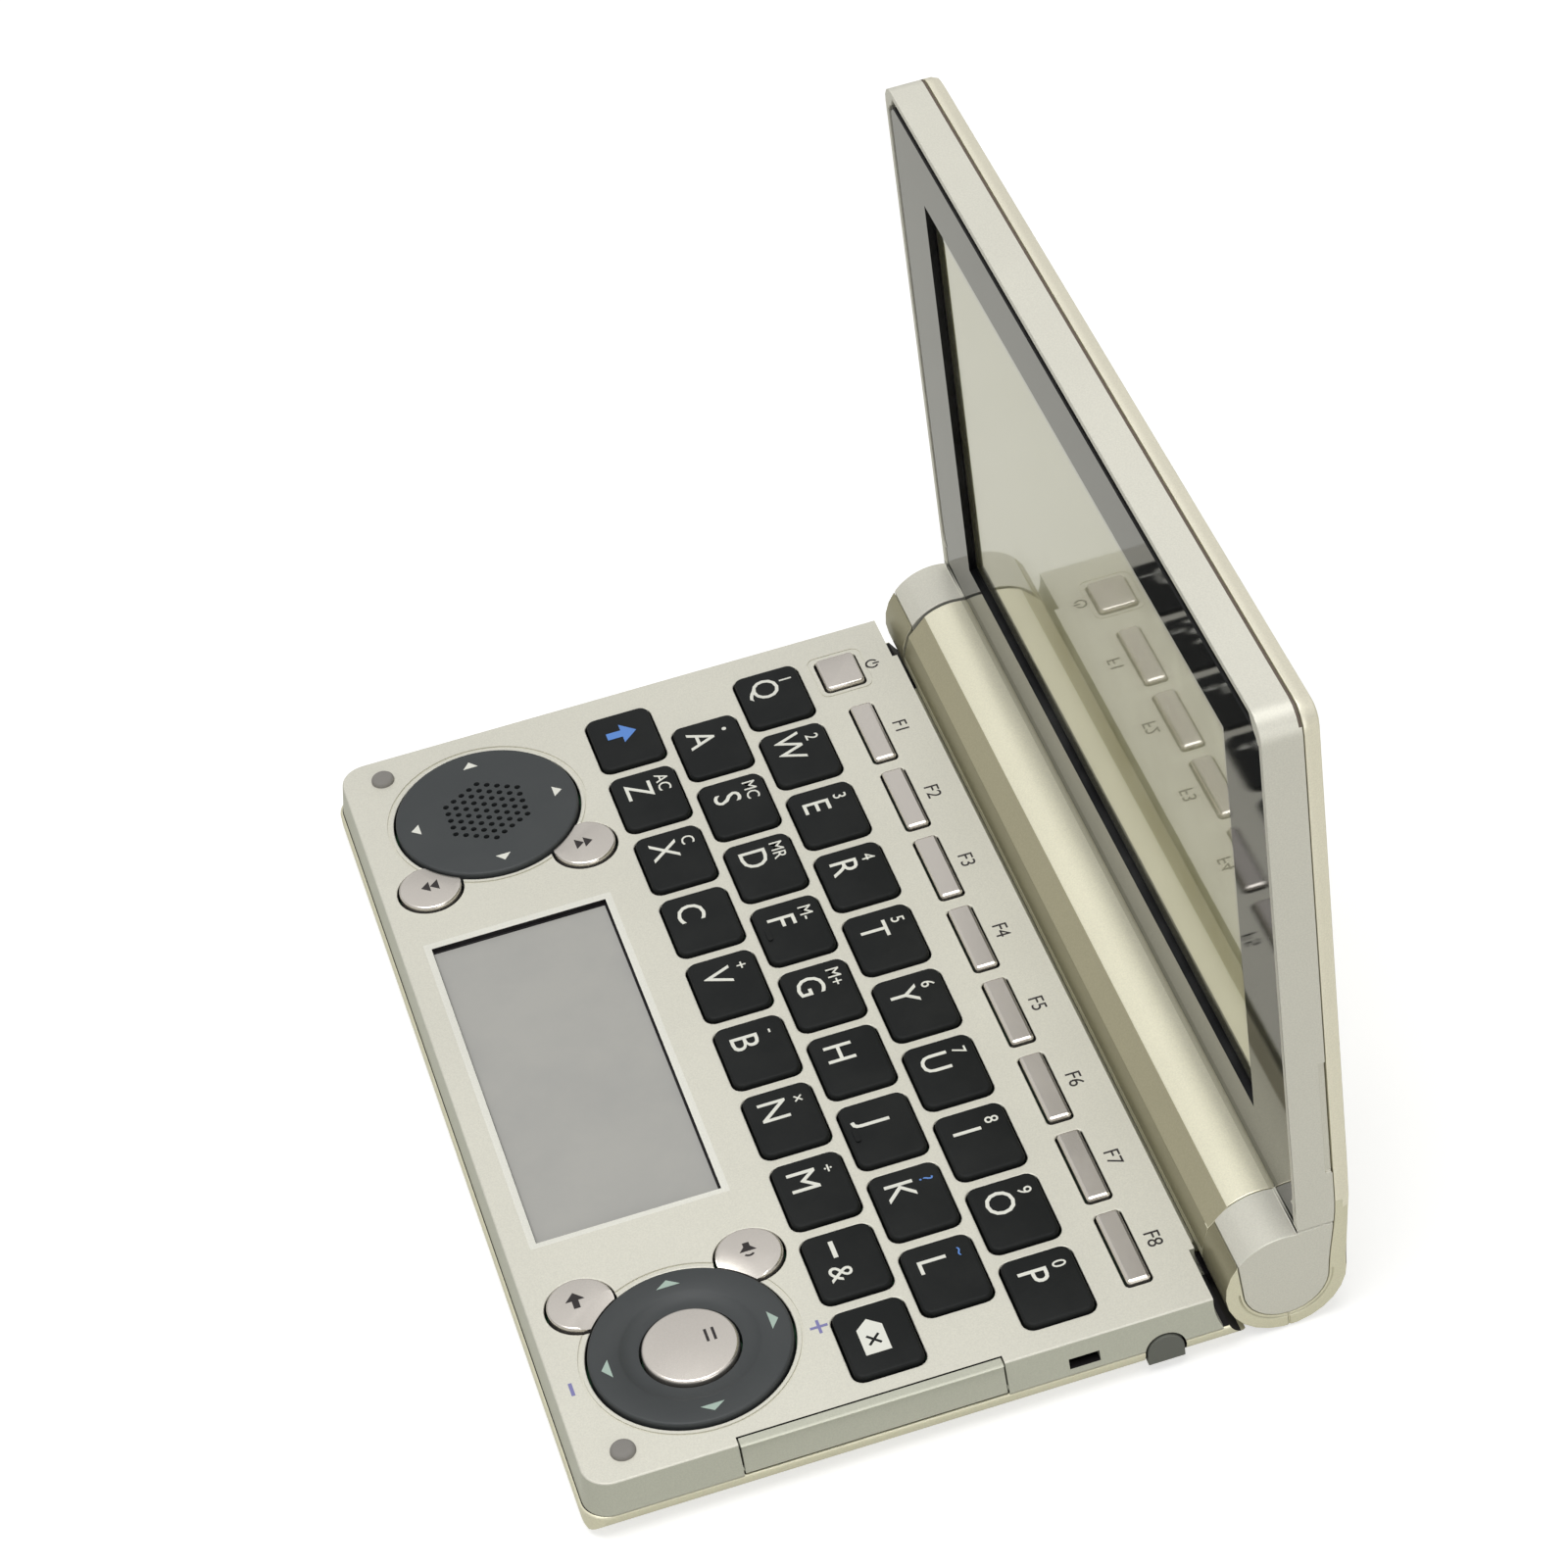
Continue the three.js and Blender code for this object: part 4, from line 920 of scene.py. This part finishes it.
def lower_case():
    """The gold lower case: a tray with a deep soft edge, screw wells and a shallow blank label place."""
    case = base_body("lower_case", WIDE, FRONT, REAR + 3.75, FOOT, SEAM)
    side_profile = block("side_profile", -WIDE, WIDE, -60, 60, FOOT, SEAM + 5)
    rounded(side_profile, lambda a, b: level_at(FOOT)(a, b) and abs(a.y - b.y) > 1, 3.2, 10)
    rounded(case, lambda a, b: level_at(SEAM)(a, b) and min(a.y, b.y) < REAR, 0.4, 3)
    front_profile = block("front_profile", -FAR, FAR, FRONT, 60, FOOT, SEAM + 5)
    rounded(front_profile, lambda a, b: level_at(FOOT)(a, b) and abs(a.x - b.x) > 1 and a.y < 0, 1.2, 6)
    for profile in (side_profile, front_profile):
        carve(case, [profile], "INTERSECT")
    tools = [
        base_cavity(FLOOR_TOP, SEAM + 5, upright_edge, 8),
        roller("seat", -WIDE - 2, WIDE + 2, *HINGE, BARREL + PLAY),
        block("neck", -NECK_SIDE, NECK_SIDE, NECK_FRONT, HINGE[0], FLOOR_TOP, NECK_TOP),
        rounded_block("label", 14, -8, 52, 24, FOOT - 1, FOOT + 0.15, 1.5),
        *[drum("well", x, y, FOOT - 1, FOOT + 0.8, 2.3, 40) for x, y in SCREWS],
        *knuckle_tools(),
        stylus_tool(),
    ]
    for tool in tools:
        painted(tool, gold)
    painted(case, gold, shade_dark)
    carve(case, tools)
    # Painted shade: faces inside the walls and in the gap at the back, below the barrel, dark
    coat_faces(case, 1, lambda c, n: c.z > 2.0 and (inside_walls(c) or c.y > REAR - 2 and abs(c.x) < WIDE - 0.5))
    return smooth(case, 30, weigh=True)


def screw_heads():
    """Cross-headed screws at the bottom of their wells."""
    head = drum("screw", 0, 0, FOOT + 0.25, FOOT + 0.8, 2.1, 40)
    rounded(head, level_at(FOOT + 0.25), 0.15, 2)
    carve(head, [block("slot", -a, a, -b, b, 0, FOOT + 0.6) for a, b in ((1.3, 0.3), (0.3, 1.3))])
    painted(smooth(head), screw_steel)
    for i, (x, y) in enumerate(SCREWS, 1):
        settle(twin(head, f"screw_{i}", x, y), "base", "shaft_steel")
    bpy.data.objects.remove(head)


# Hinge barrel and lid

def hinge_barrel():
    """The battery barrel: a tube with two flat lands in front, its neck, the cell bay and its mouth underneath."""
    tube = roller("hinge_barrel", -BARREL_END, BARREL_END + 0.5, *HINGE, BARREL, 144)
    painted(tube, gold, gold_shade, gold_mid_shade, gold_highlight, shade_dark)
    # Painted shade: the two lands take darker copies of the gold
    for low, high, coat in ((5, 30, gold_shade), (30, 58, gold_mid_shade)):
        half = math.radians(high - low) / 2
        turn = math.radians(high + low) / 2
        land = block("land", -BARREL_END - 1, BARREL_END + 2, -BARREL - 3, -BARREL * math.cos(half), -8, 8)
        land.data.transform(Matrix.Translation((0, *HINGE)) @ Matrix.Rotation(-turn, 4, "X"))
        carve(tube, [painted(land, coat)])
    # Painted highlight on the upper front and on the low strip in the gap; painted shade below it and on the left
    # end face
    for face in tube.data.polygons:
        angle = math.degrees(math.atan2(face.normal.z, -face.normal.y))
        if abs(face.normal.x) < 0.5 and face.material_index == 0 and -60 < angle < 100:
            face.material_index = 3 if angle > -8 else 4
    coat_faces(tube, 4, lambda c, n: n.x < -0.9)
    eased(tube, 0.18, 20)
    side = NECK_SIDE - PLAY
    neck = block("neck", -side, side, NECK_FRONT + PLAY, HINGE[0], FLOOR_TOP, NECK_TOP - PLAY)
    carve(tube, [painted(neck, gold)], "UNION")
    bay = roller("bay", -BAY_SIDE, BAY_SIDE, *HINGE, BAY_RADIUS, 64)
    mouth = block("mouth", -BAY_SIDE, BAY_SIDE, HINGE[0] - BAY_RADIUS, HINGE[0] + BAY_RADIUS, -2, HINGE[1])
    bores = [roller("bore", *sorted(side * end for end in BORE_ENDS), *HINGE, BORE_RADIUS, 32) for side in SIDES]
    tools = [bay, mouth, *bores]
    # Painted shade: the bay, its mouth and the bores dark
    for tool in tools:
        painted(tool, shade_dark)
    carve(tube, tools)
    return smooth(tube, 30, weigh=True)


def sliced(obj, point, normal, above=-1.0):
    """Add a loop of edges where a plane crosses the piece above a height, and cut nothing away."""
    work = bmesh.new()
    work.from_mesh(obj.data)
    faces = [face for face in work.faces if min(vertex.co.z for vertex in face.verts) > above]
    edges = {edge for face in faces for edge in face.edges}
    corners = {vertex for face in faces for vertex in face.verts}
    bmesh.ops.bisect_plane(work, geom=[*corners, *edges, *faces], dist=0.0001, plane_co=point, plane_no=normal)
    work.to_mesh(obj.data)
    work.free()


def mended(obj, test, reach):
    """Weld the crossing corners that the rounding leaves where a test on the place holds, and close them."""
    work = bmesh.new()
    work.from_mesh(obj.data)
    bmesh.ops.remove_doubles(work, verts=[vertex for vertex in work.verts if test(vertex.co)], dist=reach)
    bmesh.ops.holes_fill(work, edges=[edge for edge in work.edges if edge.is_boundary], sides=0)
    bmesh.ops.recalc_face_normals(work, faces=list(work.faces))
    work.to_mesh(obj.data)
    work.free()


def straighten_joint(obj, past):
    """Move the joint between frame and cover from its soft curve in the CAD to the real slanting line."""
    end = JOINT[-1][0]
    curve = []
    # the CAD's own curve in small steps, then the levels of its corners above the curve
    for step in range(61):
        t = step / 60
        u = 1 - t
        curve.append((end - 1.33 * (3 * t * t - 2 * t ** 3), 5 * u ** 3 + 7.5 * u * u * t + 7.5 * u * t * t))
    for level in (7.0, 8.8, 10.6, 12.1):
        curve.append((end, level))
        sliced(obj, (0, 0, HINGE[1] + level), (0, 0, 1))
    for vertex in obj.data.vertices:
        y, z = vertex.co.y - HINGE[0] - past, vertex.co.z - HINGE[1]
        if min(math.hypot(y - cy, z - cz) for cy, cz in curve) > 0.12:
            continue
        for (y0, z0), (y1, z1) in zip(JOINT, JOINT[1:]):
            if z0 <= max(z, 0) <= z1:
                vertex.co.y = HINGE[0] + past + y0 + (y1 - y0) * (max(z, 0) - z0) / (z1 - z0)


def lid_shell():
    """The lid's silver frame and gold cover, with the slanting joint, the fine lines and the split at each end."""
    silver_frame = from_node("lid_frame", "silver_frame")
    gold_cover = from_node("lid_cover", "gold_cover")
    straighten_joint(silver_frame, 0.0)
    straighten_joint(gold_cover, 0.1)
    for vertex in silver_frame.data.vertices:
        # the recess in front ends with the border, 1.4 lower than in the CAD
        if abs(vertex.co.x) < 72.2 and 44.2 < vertex.co.y < 45.6 and 97 < vertex.co.z < 101.8:
            vertex.co.z -= 1.4
    ends = [(side * LINE_FLOOR, side * (WIDE + 1)) for side in SIDES]
    lines = [block("line", *sorted(pair), HINGE[0] - 0.4, HINGE[0] + 7.05, *LINE_Z) for pair in ends]
    carve(silver_frame, [*lines, block("rail", *RAIL)])
    for pair in ends:
        ring = roller("ring", *sorted(pair), *HINGE, 6.45)
        carve(ring, [roller("core", -FAR, FAR, *HINGE, 6.3), block("upper", -FAR, FAR, 30, 60, HINGE[1], 30)])
        split = block("split", *sorted(pair), HINGE[0] - 0.1, HINGE[0] + 0.1, -1, HINGE[1] - 5.6)
        for line in (ring, split):
            carve(gold_cover, [line])
    painted(eased(silver_frame, 0.14), silver, seam_shade)
    mended(silver_frame, lambda p: 64.2 < abs(p.x) < 64.8 and 48.4 < p.y < 49.5 and 13.3 < p.z < 14.9, 0.3)
    seam_line = HINGE[0] + JOINT[-1][0] - SEAM_WIDTH
    sliced(silver_frame, (0, seam_line, 0), (0, 1, 0), above=90)
    coat_faces(silver_frame, 1, lambda c, n: c.y > seam_line and abs(n.y) < 0.9 and n.z > 0.3)
    settle(smooth(silver_frame, 35, weigh=True), "lid", "silver_case", "lid_frame")
    painted(eased(gold_cover, 0.14, 48), gold, gold_shade, gold_rim_highlight)
    # Painted highlight: the cover's sides and top take the lighter gold
    coat_faces(gold_cover, 2, lambda c, n: abs(n.y) < 0.75 and c.z > 20)
    # Painted shade: the knuckles' front takes the darker gold
    coat_faces(gold_cover, 1, lambda c, n: c.z < 18 and n.y < -0.1 and c.y < HINGE[0] and abs(n.x) < 0.5)
    settle(smooth(gold_cover, 47, weigh=True), "lid", "gold_case", "lid_cover")


def upright(name, outline, y0, y1):
    """A block in the lid: its outline in the lid's plane, and its two depths."""
    x0, x1, z0, z1 = outline
    return block(name, x0, x1, y0, y1, z0, z1)


def bezel():
    """The glossy border of the main display: a sheet with a sharp window, its cut edges black; round the outside
    that black is painted shade.
    """
    sheet = upright("bezel", BEZEL, BEZEL_FRONT, BEZEL_BACK)
    rounded(sheet, lambda a, b: abs(a.y - b.y) > 0.3 and (a.xz - b.xz).length < NEAR and a.z > 50, 2.5, 8)
    rounded(sheet, lambda a, b: abs(a.y - BEZEL_FRONT) < NEAR and abs(b.y - BEZEL_FRONT) < NEAR, 0.2, 1)
    painted(sheet, bezel_gloss, black_edge_and_shade)
    carve(sheet, [painted(upright("window", WINDOW, 40, 50), black_edge_and_shade)])
    # Black on all faces but the front: the window's walls, and painted shade round the outer edge and front rim
    coat_faces(sheet, 1, lambda c, n: n.y > -0.95)
    settle(smooth(sheet, 20), "lid", "window_sheet", "display_window")


def display_glass():
    """The main display behind the border: a black edge and a dark rim a little deeper, partly painted shade and
    reflection of the window's walls, and the pane within it.
    """
    glass = upright("display_glass", GLASS, BEZEL_BACK, GLASS_BACK)
    margin = upright("margin", MARGIN, 44, BEZEL_BACK + 0.04)
    pane = upright("pane", PANE, 44, BEZEL_BACK + 0.08)
    painted(glass, black_edge_and_shade, crystal_border_and_shade, crystal)
    carve(glass, [painted(margin, crystal_border_and_shade), painted(pane, crystal)])
    coat_faces(glass, 0, lambda c, n: n.y > -0.9)
    settle(smooth(glass, 20), "lid", "display_panel", "main_display")


settle(one_piece(upper_case(), print_on_case()), "base", "silver_case", "top_case")
settle(lower_case(), "base", "gold_case", "bottom_case")
screw_heads()
touch_wall_shade()
settle(hinge_barrel(), "base", "gold_case", "battery_barrel")
lid_shell()
bezel()
display_glass()
letter_keys()
plated_keys()
speaker_pad()
cursor_pad()
middle_button()
round_buttons()


# Bumpers and feet

def soft_stud(name, x, y, z0, z1, radius, edge, coat, slot):
    """A rubber stud on the base; its rim is rounded above, or below where the edge is negative."""
    stud = drum(name, x, y, z0, z1, radius, 48)
    rounded(stud, level_at(z1 if edge > 0 else z0), abs(edge), 5)
    settle(smooth(painted(stud, coat), 40), "base", slot)


for side, word in zip(SIDES, ("left", "right")):
    soft_stud(f"bumper_{word}", side * 68.7, -44.85, UNDER, 10.4, 1.68, 0.6, rubber, "silver_case")
    for y, place in ((FRONT + 10, "front"), (REAR - 10, "rear")):
        soft_stud(f"foot_{word}_{place}", side * 64, y, 0.0, 1.3, 4.0, -0.3, foot_rubber, "gold_case")


# CAD nodes that keep their own shape

KEPT = {
    "battery_cover": gold, "batteries": cell_print, "circuit_board": board_green,
    "hinge_shaft_left": turned_steel, "hinge_shaft_right": turned_steel, "sub_display": touch_film,
}
for node, coat in KEPT.items():
    painted(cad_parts[node], coat)

# The port flap takes the darker side silver, painted shade as on the walls
for node, name, coat, body, slot in (("port_cover", "port_flap", silver_side_shade, "port_cover", "silver_case"),
                                     ("stylus", "stylus_rod", stylus_plastic, "stylus", "stylus_grey")):
    shell = from_node(node, name)
    for vertex in shell.data.vertices:
        if node == "port_cover" and vertex.co.x > WIDE - NEAR:
            vertex.co.x = SILVER_SIDE - 0.12 * (vertex.co.z - SEAM)
    eased(shell, 0.12)
    settle(smooth(painted(shell, coat), 35, weigh=True), body, slot, node)


# Floor, lamps and camera

def backdrop():
    """A pale floor that looks white to the camera and stays bright where it is mirrored."""
    bpy.ops.object.select_all(action="DESELECT")
    bpy.ops.mesh.primitive_plane_add(size=6, location=(0, 0, 0))
    floor = named("floor")
    made = bpy.data.materials.new("pale_floor")
    made.use_nodes = True
    tree = made.node_tree
    shader = tree.nodes["Principled BSDF"]
    shader.inputs["Roughness"].default_value = 0.9
    grain = noise(tree, None, 60.0, 3.0)
    tree.links.new(mix(tree, spread(tree, grain.outputs["Fac"], 0.3, 0.7, 0.0, 1.0), (0.54, 0.54, 0.53, 1.0),
                       (0.56, 0.56, 0.55, 1.0)), shader.inputs["Base Color"])
    path = tree.nodes.new("ShaderNodeLightPath")
    tree.links.new(mix(tree, path.outputs["Is Camera Ray"], (1.0, 0.985, 0.8, 1.0), (1.0, 1.0, 1.0, 1.0)),
                   shader.inputs["Emission Color"])
    direct = math_node(tree, "MULTIPLY", path.outputs["Is Camera Ray"], 0.62)
    mirrored = math_node(tree, "MULTIPLY", path.outputs["Is Glossy Ray"], 0.34)
    tree.links.new(math_node(tree, "ADD", direct, mirrored), shader.inputs["Emission Strength"])
    floor.data.materials.append(made)


def lamp(name, place, size, power):
    """A round soft lamp that shines on the dictionary."""
    data = bpy.data.lights.new(name, "AREA")
    data.shape = "DISK"
    data.size = size
    data.energy = power
    aim = Vector((0, 0, 0.03)) - Vector(place)
    added(name, data).matrix_world = Matrix.Translation(place) @ aim.to_track_quat("-Z", "Y").to_matrix().to_4x4()


def surroundings():
    """White all round to the camera, softly clouded in mirrors, and dimmer as light."""
    world = bpy.data.worlds.new("studio")
    bpy.context.scene.world = world
    world.use_nodes = True
    tree = world.node_tree
    back = tree.nodes["Background"]
    path = tree.nodes.new("ShaderNodeLightPath")
    seen = math_node(tree, "MAXIMUM", path.outputs["Is Camera Ray"], path.outputs["Is Glossy Ray"])
    seen = math_node(tree, "MAXIMUM", seen, path.outputs["Is Transmission Ray"])
    back.inputs["Color"].default_value = (1.0, 1.0, 1.0, 1.0)
    place = tree.nodes.new("ShaderNodeTexCoord")
    split = tree.nodes.new("ShaderNodeSeparateXYZ")
    tree.links.new(place.outputs["Generated"], split.inputs[0])
    cloud = tree.nodes.new("ShaderNodeTexNoise")
    cloud.inputs["Scale"].default_value = 2.2
    tree.links.new(place.outputs["Generated"], cloud.inputs["Vector"])
    level = spread(tree, split.outputs["Z"], 0.0, 1.0, 0.4, 0.95)
    level = math_node(tree, "MULTIPLY", level, spread(tree, cloud.outputs["Fac"], 0.35, 0.65, 0.85, 1.12))
    level = math_node(tree, "MAXIMUM", level, path.outputs["Is Camera Ray"])
    tree.links.new(spread(tree, seen, 0.0, 1.0, 0.29, level), back.inputs["Strength"])


def camera():
    """The photograph's own view: the three axes and the place come from a camera fitted to it."""
    right = Vector((0.28088604, 0.95218477, -0.12019652))
    down = Vector((0.61489542, -0.27470185, -0.7392175))
    ahead = Vector((-0.73688985, 0.13372759, -0.66265397))
    place = Vector((473.00, -84.18, 474.19)) * MM
    data = bpy.data.cameras.new("camera")
    data.sensor_width = 36.0
    data.lens = 111.38
    data.clip_end = 20.0
    obj = added("camera", data)
    axes = Matrix((right, -down, -ahead)).transposed().to_4x4()
    obj.matrix_world = Matrix.Translation(place) @ axes
    bpy.context.scene.camera = obj


backdrop()
lamp("overhead", (0.1, -0.15, 1.1), 0.9, 8.9)
lamp("side", (0.55, 0.12, 0.17), 0.35, 0.5)
surroundings()
camera()
bpy.context.scene.view_settings.view_transform = "Standard"
